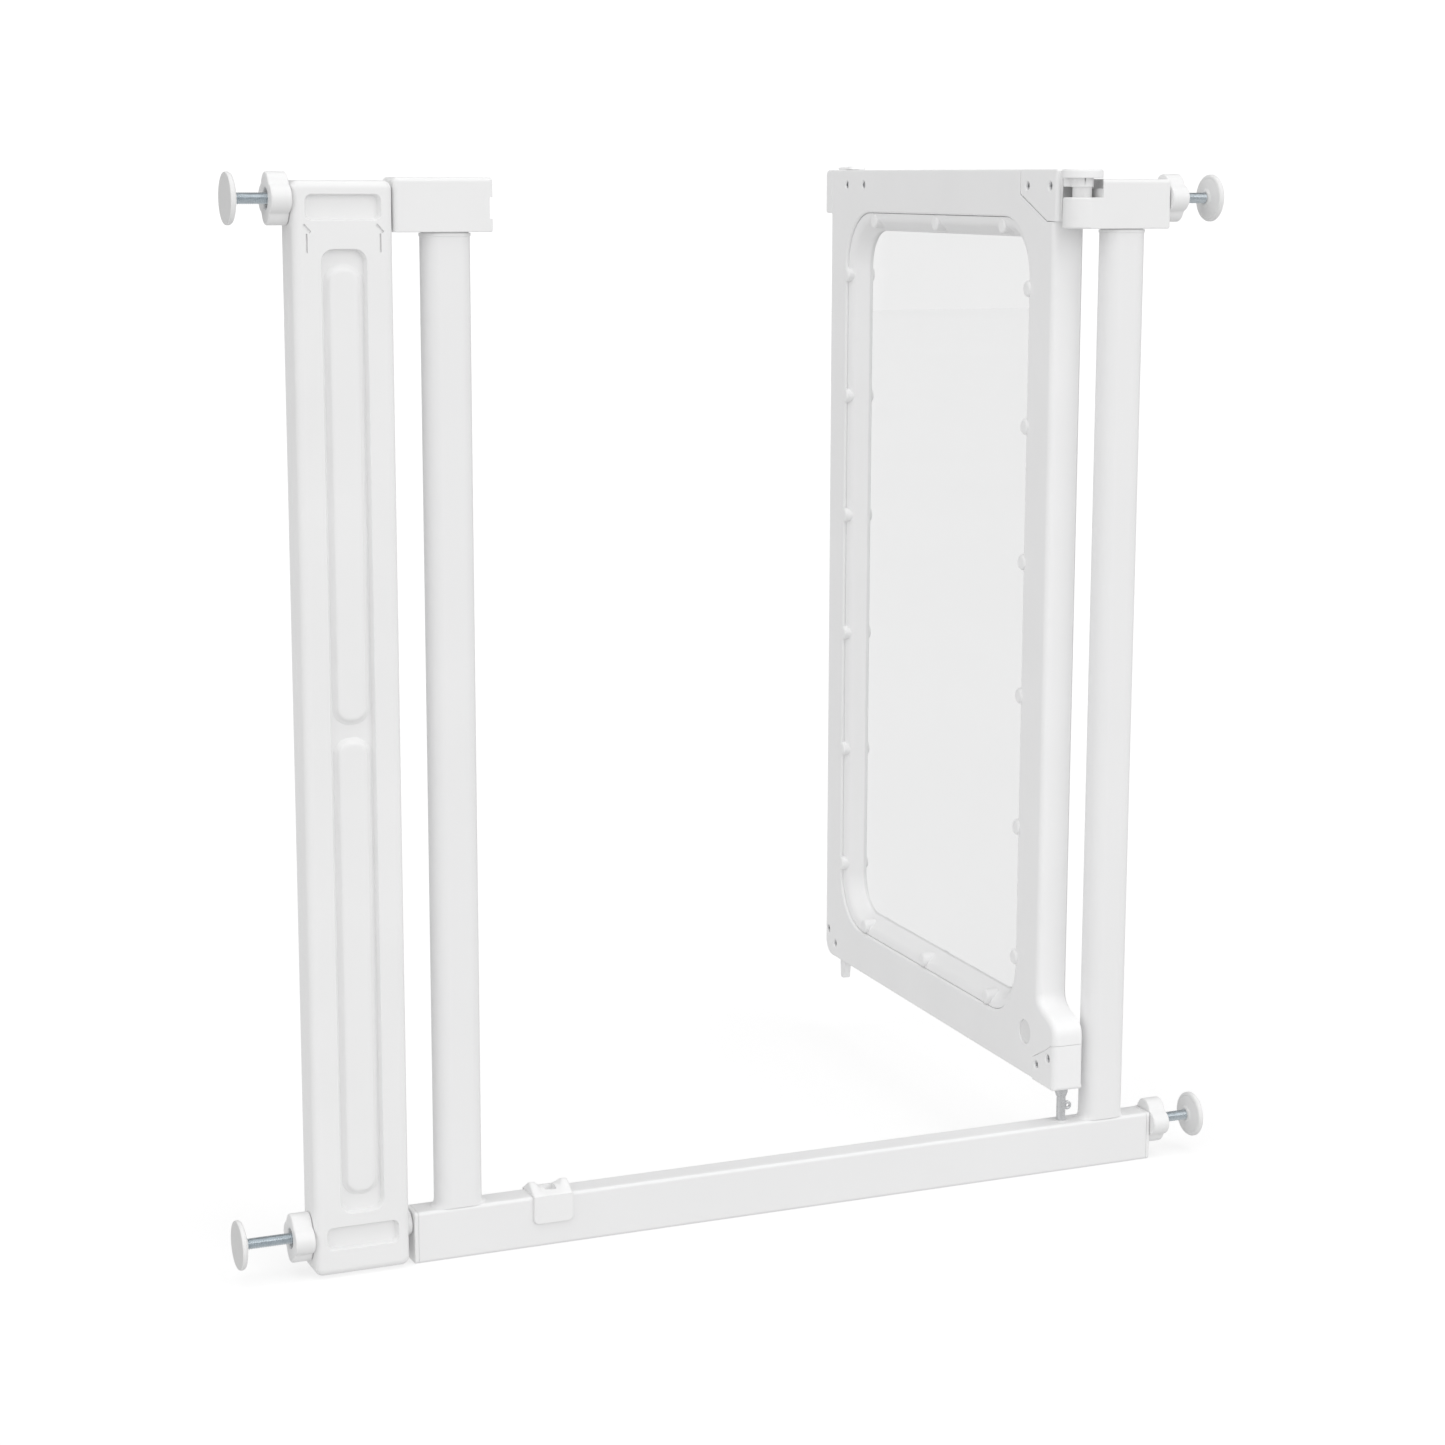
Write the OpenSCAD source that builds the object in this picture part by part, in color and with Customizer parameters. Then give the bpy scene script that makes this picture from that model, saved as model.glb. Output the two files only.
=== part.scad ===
// Pressure-mounted pet gate: U-shaped tube frame, extension panel on the left,
// lift-and-swing door with a clear window, four screw spindles with wall pads.
// X runs along the gate, Y through the doorway, Z up. The origin is on the
// floor under the middle of the bottom rail.

/* [Frame] */
// Overall length of the bottom rail with its end plugs
rail_len = 605; // [600:1:612]
// Depth of the rail and of the uprights, front to back
rail_d = 22; // [21:0.5:24]
// Height of the bottom rail
rail_h = 38; // [37:0.5:39]
// Height of the frame to the top of its housings
gate_h = 762; // [760:1:766]
// Wall thickness of the steel tubes
tube_t = 1.5; // [1.2:0.1:1.8]
// Width of each upright tube
upright_w = 34.5; // [32:0.5:36]
// Position of the latch-side upright
upright_l_x = -266.5; // [-268:0.5:-264]
// Position of the hinge-side upright
upright_r_x = 262.6; // [261:0.5:264]
// Depth of the two top housings
housing_d = 28; // [27:0.5:29]
// Height of the two top housings
housing_h = 36.4; // [35:0.2:37]

/* [Extension panel] */
// Width of the extension panel
panel_w = 69; // [66:1:72]
// Depth of the extension panel
panel_d = 32; // [31:0.5:34]
// Wall thickness of the panel's two shells
shell_t = 2.6; // [2:0.1:3]

/* [Door] */
// Thickness of the door
door_t = 26; // [25:0.5:26]
// Distance from the hinge axis to the latch edge of the door frame
door_s1 = 449; // [448:0.5:450]
// Height of the door's top edge when it stands lifted
door_z1 = 769; // [768:0.5:770]
// Height of the door's bottom edge when it stands lifted
door_z0 = 66; // [65:0.5:67]
// How far past square the door stands open, in degrees
open_dev = 2.63; // [0:0.1:3]
// Thickness of the clear window
window_t = 3; // [2:0.5:3]

/* [Spindles] */
// Height of the upper spindle pair
spindle_hi = 748; // [747:0.5:749]
// Height of the lower spindle pair
spindle_lo = 28.5; // [28:0.5:29]
// Radius of the threaded rods (M8)
rod_r = 3.98; // [3.9:0.02:4]
// Length of each threaded rod
rod_len = 74; // [70:1:78]
// Radius of the wall pads
pad_r = 17.5; // [16:0.5:20]
// Radius over the lobes of the hand nuts
nut_r = 17.7; // [17:0.1:18.5]

/* [Hidden] */
$fn = 48;

white = [0.94, 0.94, 0.94];
soft_white = [0.90, 0.90, 0.90];
zinc = [0.66, 0.70, 0.74];
clearc = [0.85, 0.90, 0.92, 0.4];

ax_x = 228;                         // hinge axis, on y = 0
fit = 0.05;                         // radial clearance of a running fit
hz0 = gate_h - housing_h;           // underside of the housings
keeper_x0 = -305.3; keeper_x1 = -236.5;
bracket_x1 = 296.2;
knuckle_r = 14; recess_r = 16.3; knuckle_z1 = 748.5;
px1 = -307.2; px0 = px1 - panel_w; pz0 = 2; pz1 = 760;
pcx = (px0 + px1) / 2;
tube_top = 738;                     // top end of the uprights, inside the housings
rl = rail_len / 2;
hole_r = rod_r + fit;
ht = door_t / 2;
foot_s = -11;                       // near end of the door's hinge foot
door_s0 = 19;                       // near edge of the hinge stile
cap_s0 = 15.5;                      // near end of the upper hinge cap
cover_t = 2.5;
// window: step line of the opening and the ring that frames the glass
win_cs = 236.25; win_cz = 418; step_w = 354.5; step_h = 630; step_r = 46; lip = 15;
win_w = 4;                          // the glass sits nearer the rear face
boss_r = 5.9;
boss_top = ht + 2.9;                // front bosses stand proud of the face
boss_side_z = [for (i = [0:5]) 156 + i * 104.7];
boss_top_s = [for (i = [-1:1]) win_cs + i * 124];
tongue_s = 426;
catch_x = ax_x - tongue_s;
nose_s1 = 461.5; nose_z0 = 732;
bolt_z = 748.5;                     // middle of the latch bolt while the door is lifted
slide_drop = 7;
pad_xl_hi = -417.5; pad_xl_lo = -428.5; pad_xr_hi = 340.5; pad_xr_lo = 348;

// ---------- helpers ----------
// rounded rectangle about the origin
module rr(w, h, r) {
    square([w - 2*r, h], center = true);
    square([w, h - 2*r], center = true);
    for (i = [-1, 1], j = [-1, 1]) translate([i*(w/2 - r), j*(h/2 - r)]) circle(r);
}
// extrudes a (y, z) outline along X from a to b
module along_x(a, b) { translate([a, 0, 0]) rotate([90, 0, 90]) linear_extrude(b - a) children(); }
// extrudes an (x, z) outline along Y from a to b
module along_y(a, b) { translate([0, b, 0]) rotate([90, 0, 0]) linear_extrude(b - a) children(); }
// block between two corners
module blk(a, b) { translate(a) cube([b[0]-a[0], b[1]-a[1], b[2]-a[2]]); }
// block between two corners with all edges rounded
module rbox(a, b, r) {
    blk([a[0]+r, a[1]+r, a[2]], [b[0]-r, b[1]-r, b[2]]);
    blk([a[0]+r, a[1], a[2]+r], [b[0]-r, b[1], b[2]-r]);
    blk([a[0], a[1]+r, a[2]+r], [b[0], b[1]-r, b[2]-r]);
    for (x = [a[0]+r, b[0]-r], y = [a[1]+r, b[1]-r]) translate([x, y, a[2]+r]) cylinder(r = r, h = b[2]-a[2]-2*r);
    for (x = [a[0]+r, b[0]-r], z = [a[2]+r, b[2]-r]) translate([x, a[1]+r, z]) rotate([-90, 0, 0]) cylinder(r = r, h = b[1]-a[1]-2*r);
    for (y = [a[1]+r, b[1]-r], z = [a[2]+r, b[2]-r]) translate([a[0]+r, y, z]) rotate([0, 90, 0]) cylinder(r = r, h = b[0]-a[0]-2*r);
    for (x = [a[0]+r, b[0]-r], y = [a[1]+r, b[1]-r], z = [a[2]+r, b[2]-r]) translate([x, y, z]) sphere(r);
}
// cylinder along X between a and b at height z
module xcyl(a, b, z, r, y = 0) { translate([a, y, z]) rotate([0, 90, 0]) cylinder(r = r, h = b - a); }
// cylinder along Y between a and b
module ycyl(a, b, x, z, r) { translate([x, a, z]) rotate([-90, 0, 0]) cylinder(r = r, h = b - a); }
// door frame of reference: local X across the door, local Y along it from the hinge axis
module in_door() { translate([ax_x, 0, 0]) rotate([0, 0, -open_dev]) children(); }
// coil of round wire standing on z = 0
module coil(r, wire, h, turns) {
    n = 20; k = 8; m = turns * n;
    pts = [for (i = [0:m], j = [0:k-1]) let (a = 360*i/n, b = 360*j/k, q = r + wire/2*cos(b))
           [q*cos(a), q*sin(a), wire/2 + (h - wire)*i/m + wire/2*sin(b)]];
    polyhedron(points = pts, faces = concat(
        [[for (j = [0:k-1]) j]],
        [for (i = [0:m-1], j = [0:k-1]) [i*k + j, (i+1)*k + j, (i+1)*k + (j+1)%k, i*k + (j+1)%k]],
        [[for (j = [k-1:-1:0]) m*k + j]]));
}

// ---------- frame ----------
module bottom_rail() color(white) difference() {
    along_x(-rl + 3, rl - 3) translate([0, rail_h/2]) rr(rail_d, rail_h, 2.5);
    along_x(-rl, rl) translate([0, rail_h/2]) rr(rail_d - 2*tube_t, rail_h - 2*tube_t, 1.2);
    translate([ax_x, 0, rail_h - 5]) cylinder(r = 5, h = 10);
}
module rail_plug(s) color(soft_white) difference() {
    union() {
        along_x(s > 0 ? rl - 3 : -rl, s > 0 ? rl : -rl + 3) translate([0, rail_h/2]) rr(rail_d, rail_h, 2.5);
        along_x(s > 0 ? rl - 27 : -rl + 3, s > 0 ? rl - 3 : -rl + 27) translate([0, rail_h/2]) rr(rail_d - 2*tube_t - 0.2, rail_h - 2*tube_t - 0.2, 1.1);
    }
    xcyl(-rl - 1, rl + 1, spindle_lo, hole_r);
    // hollow behind the end wall, with room for the connector's nut on the latch side
    blk([s > 0 ? rl - 28 : -rl + 7, -7.8, 4], [s > 0 ? rl - 7 : -rl + 28, 7.8, 36]);
}
module rail_end_plug_left() rail_plug(-1);
module rail_end_plug_right() rail_plug(1);

module upright(x) color(white) translate([x, 0, 0]) difference() {
    union() {
        translate([0, 0, rail_h]) linear_extrude(tube_top - rail_h) rr(upright_w, rail_d, 10.4);
        // weld bead round the foot
        translate([0, 0, rail_h]) linear_extrude(1.4) rr(upright_w + 7, rail_d, 10.4);
        translate([0, 0, rail_h]) linear_extrude(3.2) rr(upright_w + 3, rail_d, 10.4);
    }
    translate([0, 0, rail_h - 1]) linear_extrude(tube_top) rr(upright_w - 2*tube_t, rail_d - 2*tube_t, 8.9);
    ycyl(5, 20, 0, 731.5, 1.6);
}
module left_upright() upright(upright_l_x);
module right_upright() upright(upright_r_x);

module latch_keeper() color(white) difference() {
    rbox([keeper_x0, -housing_d/2, hz0], [keeper_x1, housing_d/2, gate_h], 3);
    // socket for the upright and the room above it
    translate([upright_l_x, 0, hz0 - 1]) linear_extrude(tube_top - hz0 + 1.2) rr(upright_w + 0.2, rail_d + 0.2, 10.5);
    blk([keeper_x0 + 3.2, -10.5, tube_top], [-252, 10.5, gate_h - 3]);
    xcyl(keeper_x0 - 1, keeper_x0 + 5, spindle_hi, hole_r);
    // groove and pocket for the latch bolt
    blk([keeper_x1 - 2.2, -20, 734.4], [keeper_x1 + 1, 20, 748.7]);
    blk([keeper_x1 - 9.5, -7, 735.2], [keeper_x1 + 1, 7, 747.6]);
    ycyl(10, 20, upright_l_x, 731.5, 1.6);
    ycyl(12.2, 20, upright_l_x, 731.5, 3.2);
}

module hinge_bracket() color(white) difference() {
    union() {
        difference() {
            rbox([ax_x - 10, -housing_d/2, hz0], [bracket_x1, housing_d/2, gate_h], 3);
            blk([ax_x - 20, -20, hz0 - 1], [ax_x, 20, gate_h + 1]);
            blk([ax_x - 20, -20, knuckle_z1], [ax_x + 10.2, 20, gate_h + 1]);
        }
        // knuckle round the hinge axis
        translate([ax_x, 0, hz0]) rotate_extrude($fn = 96) polygon([[0, 0], [knuckle_r - 1.4, 0], [knuckle_r, 1.4], [knuckle_r, knuckle_z1 - hz0], [0, knuckle_z1 - hz0]]);
    }
    // hollow that the door's hinge arm turns and drops into
    translate([ax_x, 0, knuckle_z1]) cylinder(r = recess_r, h = 20);
    translate([ax_x, 0, hz0 - 1]) cylinder(r = 9.6 + fit, h = 40);
    translate([upright_r_x, 0, hz0 - 1]) linear_extrude(tube_top - hz0 + 1.2) rr(upright_w + 0.2, rail_d + 0.2, 10.5);
    blk([ax_x + recess_r + 2.7, -10.5, tube_top], [bracket_x1 - 3.2, 10.5, gate_h - 3]);
    xcyl(bracket_x1 - 5, bracket_x1 + 1, spindle_hi, hole_r);
    ycyl(10, 20, upright_r_x, 731.5, 1.6);
    ycyl(12.2, 20, upright_r_x, 731.5, 3.2);
}

module lower_hinge_bush() color(soft_white) difference() {
    translate([ax_x, 0, 0]) union() {
        translate([0, 0, 24]) cylinder(r = 4.95, h = rail_h - 24);
        translate([0, 0, rail_h]) cylinder(r = 5.8, h = 0.6);
    }
    translate([ax_x, 0, 20]) cylinder(r = 3.5 + fit, h = 30);
}

module floor_catch() color(white) difference() {
    union() {
        // front and back skirts over the rail
        for (s = [-1, 1]) intersection() {
            along_y(s > 0 ? 11.1 : -13.4, s > 0 ? 13.4 : -11.1) translate([catch_x, 31]) rr(30, 27, 4);
            blk([catch_x - 20, -20, 0], [catch_x + 20, 20, rail_h + 1]);
        }
        // low ridge between the wings
        along_x(catch_x - 15, catch_x + 15) polygon([[-13.4, rail_h], [-13.4, rail_h + 0.7], [-2.5, rail_h + 4.6], [2.5, rail_h + 4.6], [13.4, rail_h + 0.7], [13.4, rail_h]]);
        // wings on each side of the notch, sloping to the front and to the back
        intersection() {
            for (s = [-1, 1]) along_y(-13.4, 13.4) translate([catch_x, 0]) polygon([[s*15, rail_h], [s*15, rail_h + 6.4], [s*13.4, rail_h + 8], [s*11.6, rail_h + 8], [s*6.6, rail_h + 4], [s*6.6, rail_h]]);
            along_x(catch_x - 16, catch_x + 16) polygon([[-13.4, rail_h], [-13.4, rail_h + 0.7], [-2.5, rail_h + 8], [2.5, rail_h + 8], [13.4, rail_h + 0.7], [13.4, rail_h]]);
        }
    }
    blk([catch_x - 4.5, -7.2, rail_h - 1], [catch_x + 4.5, 3.2, rail_h + 12]);
}

module housing_screws() color(zinc) for (x = [upright_l_x, upright_r_x]) {
    ycyl(9.3, 12.2, x, 731.5, 1.55);
    ycyl(12.2, 13.6, x, 731.5, 3);
}

// ---------- extension panel ----------
panel_screw_z = [70, 390, 690];
module panel_body() rbox([px0, -panel_d/2, pz0], [px1, panel_d/2, pz1], 4.5);
module panel_bores() {
    for (z = [spindle_hi, spindle_lo]) xcyl(px0 - 1, px1 + 1, z, hole_r);
}
module panel_front_shell() color(white) difference() {
    intersection() { panel_body(); blk([px0 - 1, -20, 0], [px1 + 1, 0, 800]); }
    // hollow inside
    difference() {
        union() {
            blk([px0 + shell_t, -9.2, pz0 + shell_t], [px1 - shell_t, 1, pz1 - shell_t]);
            for (x = [px0 + shell_t, pcx + 19]) blk([x, -panel_d/2 + shell_t, 50], [x + panel_w/2 - shell_t - 19, -9, 708]);
        }
        for (z = panel_screw_z) ycyl(-12, 2, pcx, z, 4.5);
    }
    for (z = panel_screw_z) ycyl(-7, 2, pcx, z, 1.55);
    // recesses pressed into the face
    along_y(-30, -panel_d/2 + 4) translate([pcx, 742.3]) rr(53.5, 18.4, 5);
    along_y(-30, -panel_d/2 + 4) translate([pcx, 29]) rr(53.5, 17.6, 5);
    difference() {
        along_y(-30, -panel_d/2 + 4.2) translate([pcx, 380.6]) rr(32.5, 669.6, 11);
        along_y(-panel_d/2 + 1.2, 0) translate([pcx, 549.5]) rr(22.5, 307, 8);
        along_y(-panel_d/2 + 1.2, 0) translate([pcx, 221.4]) rr(22.5, 322.6, 8);
    }
    // four narrow slots below the upper recess
    for (s = [-1, 1]) {
        along_y(-30, -panel_d/2 + 1.2) translate([pcx + s*25.3, 718.8]) square([1.4, 12], center = true);
        along_y(-30, -panel_d/2 + 1.2) translate([pcx + s*25.0, 728.2]) rotate(42) square([1.4, 7], center = true);
    }
    panel_bores();
}
module panel_back_shell() color(white) difference() {
    intersection() { panel_body(); blk([px0 - 1, 0, 0], [px1 + 1, 20, 800]); }
    difference() {
        blk([px0 + shell_t, -1, pz0 + shell_t], [px1 - shell_t, panel_d/2 - shell_t, pz1 - shell_t]);
        for (z = panel_screw_z) ycyl(0, 20, pcx, z, 4.5);
    }
    for (z = panel_screw_z) { ycyl(-1, 20, pcx, z, 1.75); ycyl(panel_d/2 - 3.2, 20, pcx, z, 3.3); }
    panel_bores();
}
module panel_screws() color(zinc) for (z = panel_screw_z) {
    ycyl(-6, panel_d/2 - 3.2, pcx, z, 1.5);
    ycyl(panel_d/2 - 3.2, panel_d/2 - 1.6, pcx, z, 3.1);
}
module connector_studs() color(soft_white) for (q = [[spindle_hi, keeper_x0], [spindle_lo, -rl]]) {
    xcyl(px1 - 10, q[1] + 14, q[0], rod_r);
    // domed flange between the panel and the frame
    translate([px1 + 0.05, 0, q[0]]) rotate([0, 90, 0]) rotate_extrude() polygon([[0, 0], [8.4, 0], [9, 0.5], [9, max(0.9, q[1] - px1 - 1)], [7.6, q[1] - px1 - 0.1], [0, q[1] - px1 - 0.1]]);
}
module hex_nut(x, z) translate([x, 0, z]) rotate([0, 90, 0]) difference() {
    cylinder(r = 7.4, h = 6.2, $fn = 6);
    translate([0, 0, -1]) cylinder(r = rod_r + 0.01, h = 10);
}
module connector_nuts() color(zinc) {
    for (z = [spindle_hi, spindle_lo]) hex_nut(px1 - shell_t - 6.3, z);
    hex_nut(keeper_x0 + 3.3, spindle_hi);
    hex_nut(-rl + 7.1, spindle_lo);
}

// ---------- screw spindles ----------
// s = -1 on the left, 1 on the right; xp is the pad's wall face
module rod(s, xp, z) color(zinc) {
    a = xp - s*4; b = a - s*rod_len;
    xcyl(min(a, b), max(a, b), z, rod_r);
}
module wall_pad(s, xp, z) color(soft_white) translate([xp, 0, z]) rotate([0, -90*s, 0]) difference() {
    rotate_extrude($fn = 96) polygon([[0, 0], [pad_r - 0.8, 0], [pad_r - 0.2, 0.4], [pad_r, 1], [pad_r, 2.3], [pad_r - 0.7, 3.3],
        [pad_r - 2.2, 4.1], [11, 5.2], [7, 5.9], [5.6, 7], [0, 7]]);
    translate([0, 0, 4]) cylinder(r = rod_r + 0.01, h = 10);
}
// xf is the frame face that the nut turns against
module hand_nut(s, xf, z) color(white) translate([xf + s*0.25, 0, z]) rotate([0, 90*s, 0]) difference() {
    union() {
        for (i = [0:3]) rotate(i*90) translate([8.2, 0, 0]) rotate_extrude() polygon([[0, 0], [nut_r - 9.4, 0], [nut_r - 8.2, 1.2], [nut_r - 8.2, 12.3], [nut_r - 9.7, 14], [0, 14]]);
        rotate_extrude() polygon([[0, 0], [13.2, 0], [14.2, 1], [14.2, 12.5], [12.8, 14], [0, 14]]);
    }
    translate([0, 0, -1]) cylinder(r = 7.2, h = 12);
    translate([0, 0, 10]) cylinder(r = 6, h = 5);
}
module nut_insert(s, xf, z) color(zinc) translate([xf + s*0.25, 0, z]) rotate([0, 90*s, 0]) difference() {
    union() {
        cylinder(r = 7.15, h = 10.9);
        cylinder(r = 5.8, h = 13);
    }
    translate([0, 0, -1]) cylinder(r = hole_r, h = 20);
}
module rod_left_upper() rod(-1, pad_xl_hi, spindle_hi);
module rod_left_lower() rod(-1, pad_xl_lo, spindle_lo);
module rod_right_upper() rod(1, pad_xr_hi, spindle_hi);
module rod_right_lower() rod(1, pad_xr_lo, spindle_lo);
module wall_pad_left_upper() wall_pad(-1, pad_xl_hi, spindle_hi);
module wall_pad_left_lower() wall_pad(-1, pad_xl_lo, spindle_lo);
module wall_pad_right_upper() wall_pad(1, pad_xr_hi, spindle_hi);
module wall_pad_right_lower() wall_pad(1, pad_xr_lo, spindle_lo);
module hand_nut_left_upper() hand_nut(-1, px0, spindle_hi);
module hand_nut_left_lower() hand_nut(-1, px0, spindle_lo);
module hand_nut_right_upper() hand_nut(1, bracket_x1, spindle_hi);
module hand_nut_right_lower() hand_nut(1, rl, spindle_lo);
module nut_insert_left_upper() nut_insert(-1, px0, spindle_hi);
module nut_insert_left_lower() nut_insert(-1, px0, spindle_lo);
module nut_insert_right_upper() nut_insert(1, bracket_x1, spindle_hi);
module nut_insert_right_lower() nut_insert(1, rl, spindle_lo);

// ---------- door ----------
module upper_hinge_bush() color(soft_white) translate([ax_x, 0, hz0 + 0.6]) difference() {
    cylinder(r = 9.6, h = knuckle_z1 - hz0 - 0.8);
    translate([0, 0, -1]) cylinder(r = 7.2 + fit, h = 40);
}
// outline of the door moulding in (s, z)
module door_outline() difference() {
    union() {
        difference() {
            translate([door_s0, door_z0]) square([door_s1 - door_s0, door_z1 - door_z0]);
            translate([door_s1 - 15, door_z0 - 1]) square([20, 16]);
        }
        translate([door_s1 - 15, door_z0 + 15]) circle(15);
        polygon([[foot_s, door_z0], [30, door_z0], [30, 140], [door_s0, 140], [door_s0, 133], [17.6, 128.5], [13.5, 125], [7, 122.6], [-3, 120.4], [-8.2, 118], [-10.3, 115], [foot_s, 111]]);
    }
    translate([win_cs, win_cz]) rr(step_w + 0.1, step_h + 0.1, step_r + 0.05);
    polygon([[0, 730.4], [31.9, 730.4], [77.5, 750], [77.5, 780], [0, 780]]);
    polygon([[-20, door_z0 - 5], [25.4, door_z0 - 5], [25.4, 83.6], [5, 94], [-4, 99.6], [-20, 103.4]]);
}
module boss_places() {
    for (z = boss_side_z, s = [-1, 1]) translate([win_cs + s*step_w/2, z]) children();
    for (q = boss_top_s, s = [-1, 1]) translate([q, win_cz + s*(step_h/2 - 6.6)]) children();
}
module boss_holes(a, b) { along_x(a, b) boss_places() circle(boss_r + 0.05); }
module screw_hole(s, z, a, r = 3.1) { translate([-ht - 1, s, z]) rotate([0, 90, 0]) cylinder(r = r, h = ht + 1 + a); }
// takes the sharp corner off an upright edge at (w, s); dw and ds point inwards
module edge_cut(w, s, dw, ds, z0, z1, r = 4) translate([w, s, z0]) linear_extrude(z1 - z0) difference() {
    translate([dw > 0 ? -1 : -r, ds > 0 ? -1 : -r]) square(r + 1);
    translate([dw*r, ds*r]) circle(r);
}
module round_edges() for (d = [-1, 1]) {
    edge_cut(-d*ht, foot_s, d, 1, door_z0 - 5, 111.1);
    edge_cut(-d*ht, door_s0, d, 1, 133, 735);
    edge_cut(-d*ht, door_s1, d, -1, door_z0 - 5, nose_z0);
}
// tenons of the moulding inside its two hinge caps, and the sleeve for the hinge pin
module tenons(g) {
    blk([-4.9 - g, 22 - g, 728], [4.9 + g, 79, 764.4 + g]);
    blk([-4.9 - g, 6, 70 - g], [4.9 + g, 22 + g, 112]);
    translate([0, 0, 72 - g]) cylinder(r = 7.4 + g, h = 36);
}
cap_screws = [[65, 756.6], [27.1, 756.6]];
foot_screws = [[19.2, 78.8], [-0.4, 89]];
latch_screws = [[414.7, 756.4], [378.7, 756.4]];
shoe_screws = [[441.2, 88.7], [425.5, 78.4]];

module shoe_block(g) difference() {
    union() {
        blk([-7.9 - g, 415.1 - g, door_z0 + 0.2 - 3*g], [ht - cover_t - 0.1 + g, 434.9 + g, 95.9 + g]);
        blk([-7.9 - g, 430, 75.6 - g], [ht - cover_t - 0.1 + g, 445.4 + g, 95.9 + g]);
    }
}
module door_frame() color(white) in_door() difference() {
    union() {
        along_x(-ht, ht - cover_t) door_outline();
        tenons(0);
    }
    round_edges();
    // pockets behind the face
    blk([-ht + 2.6, door_s0 + 2.6, 143], [ht, 50, 722]);
    blk([-ht + 2.6, 423, 106], [ht, door_s1 - 2.6, 722]);
    blk([-ht + 2.6, 84, 741.4], [ht, 368, door_z1 - 2.6]);
    blk([-9.9, 370, 741.4], [ht, door_s1 + 1, door_z1 - 2.6]);
    blk([-ht + 2.6, 52, door_z0 + 2.6], [ht, 410, 95]);
    // pocket for the drop tongue's block
    shoe_block(0.1);
    boss_holes(-ht - 1, -6); boss_holes(7.5, ht);
    // slot for the latch slide
    blk([-4.3, 427.5, 760], [4.3, door_s1 + 1, 780]);
    // bore for the hinge pin and its spring
    translate([0, 0, 60]) cylinder(r = 5 + fit, h = 35);
    for (p = latch_screws) { screw_hole(p[0], p[1], -11.2); screw_hole(p[0], p[1], -8, 1.75); }
    for (p = shoe_screws) { screw_hole(p[0], p[1], -10.4); screw_hole(p[0], p[1], -7, 1.75); }
    for (p = concat(cap_screws, foot_screws)) screw_hole(p[0], p[1], p[0] < 5 ? -5.3 : -1, 1.55);
    translate([-ht - 1, 39.7, 100.1]) rotate([0, 90, 0]) cylinder(r = 9.6, h = 5);
}
module door_back_cover() color(white) in_door() difference() {
    along_x(ht - cover_t, ht) door_outline();
    round_edges();
    boss_holes(7.5, ht + 1);
}
// skin of the sloped ring round the window, as (radius from corner centre, height)
module bezel_profile(o) polygon([[step_r, -ht + 1.2], [step_r - 1.6, -ht + 1.2], [step_r - 13, o - 4.7], [step_r - lip, o - 4.1],
    [step_r - lip, o - window_t/2 - 0.1], [step_r - lip + 3, o - window_t/2 - 0.1], [step_r - 3, -8.3], [step_r - 3, o - window_t/2 - 0.1], [step_r, o - window_t/2 - 0.1]]);
module bezel_ring(o) rotate([90, 0, 90]) translate([win_cs, win_cz, 0]) for (a = [0:90:270]) rotate(a) {
    hx = (a % 180 == 0 ? step_w : step_h)/2 - step_r; hy = (a % 180 == 0 ? step_h : step_w)/2 - step_r;
    translate([hx, hy, 0]) rotate_extrude(angle = 90) bezel_profile(o);
    translate([hx, hy, 0]) rotate([90, 0, 0]) linear_extrude(2*hy) bezel_profile(o);
}
module window_bezel_front() color(white) in_door() difference() { bezel_ring(win_w); boss_holes(-ht - 1, -6); }
module window_bezel_rear() color(white) in_door() difference() { mirror([1, 0, 0]) bezel_ring(-win_w); boss_holes(7.5, ht + 1); }
module clear_window() color(clearc) in_door() along_x(win_w - window_t/2, win_w + window_t/2) translate([win_cs, win_cz]) rr(step_w - 1, step_h - 1, step_r - 0.5);
module bezel_studs(s, foot, top) rotate([90, 0, 90]) boss_places() rotate([s > 0 ? 0 : 180, 0, 0])
    rotate_extrude($fn = 48) polygon([[0, foot], [boss_r, foot], [boss_r, top - 1.4], [boss_r - 0.5, top - 0.45], [boss_r - 1.6, top], [0, top]]);
module bezel_studs_front() color(white) in_door() bezel_studs(-1, 6.1, boss_top);
module bezel_studs_rear() color(white) in_door() bezel_studs(1, 7.6, ht - 2.2);

module upper_hinge_cap() color(white) in_door() difference() {
    union() {
        difference() {
            along_x(-ht, ht) polygon([[cap_s0, 730.5], [31.8, 730.5], [77.4, 750.1], [77.4, door_z1], [cap_s0, door_z1]]);
            for (d = [-1, 1]) edge_cut(-d*ht, cap_s0, d, 1, 700, 780, 3);
        }
        // arm over the knuckle, with the barrel under it
        blk([-6.5, 0, 762.6], [6.5, cap_s0 + 4, door_z1]);
        translate([0, 0, 762.6]) rotate_extrude($fn = 96) polygon([[0, 0], [15.4, 0], [15.4, door_z1 - 764.2], [13.8, door_z1 - 762.6], [0, door_z1 - 762.6]]);
        translate([0, 0, 756]) cylinder(r = 8.4, h = 8);
    }
    translate([0, 0, 750]) cylinder(r = 4.01, h = 15);
    tenons(0.1);
    for (p = cap_screws) { screw_hole(p[0], p[1], -10.4); screw_hole(p[0], p[1], -4, 1.75); }
}
module upper_hinge_pivot() color(soft_white) in_door() {
    translate([0, 0, 733]) cylinder(r = 7.2, h = 23);
    translate([0, 0, 756]) cylinder(r = 4, h = 8.5);
}
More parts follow.
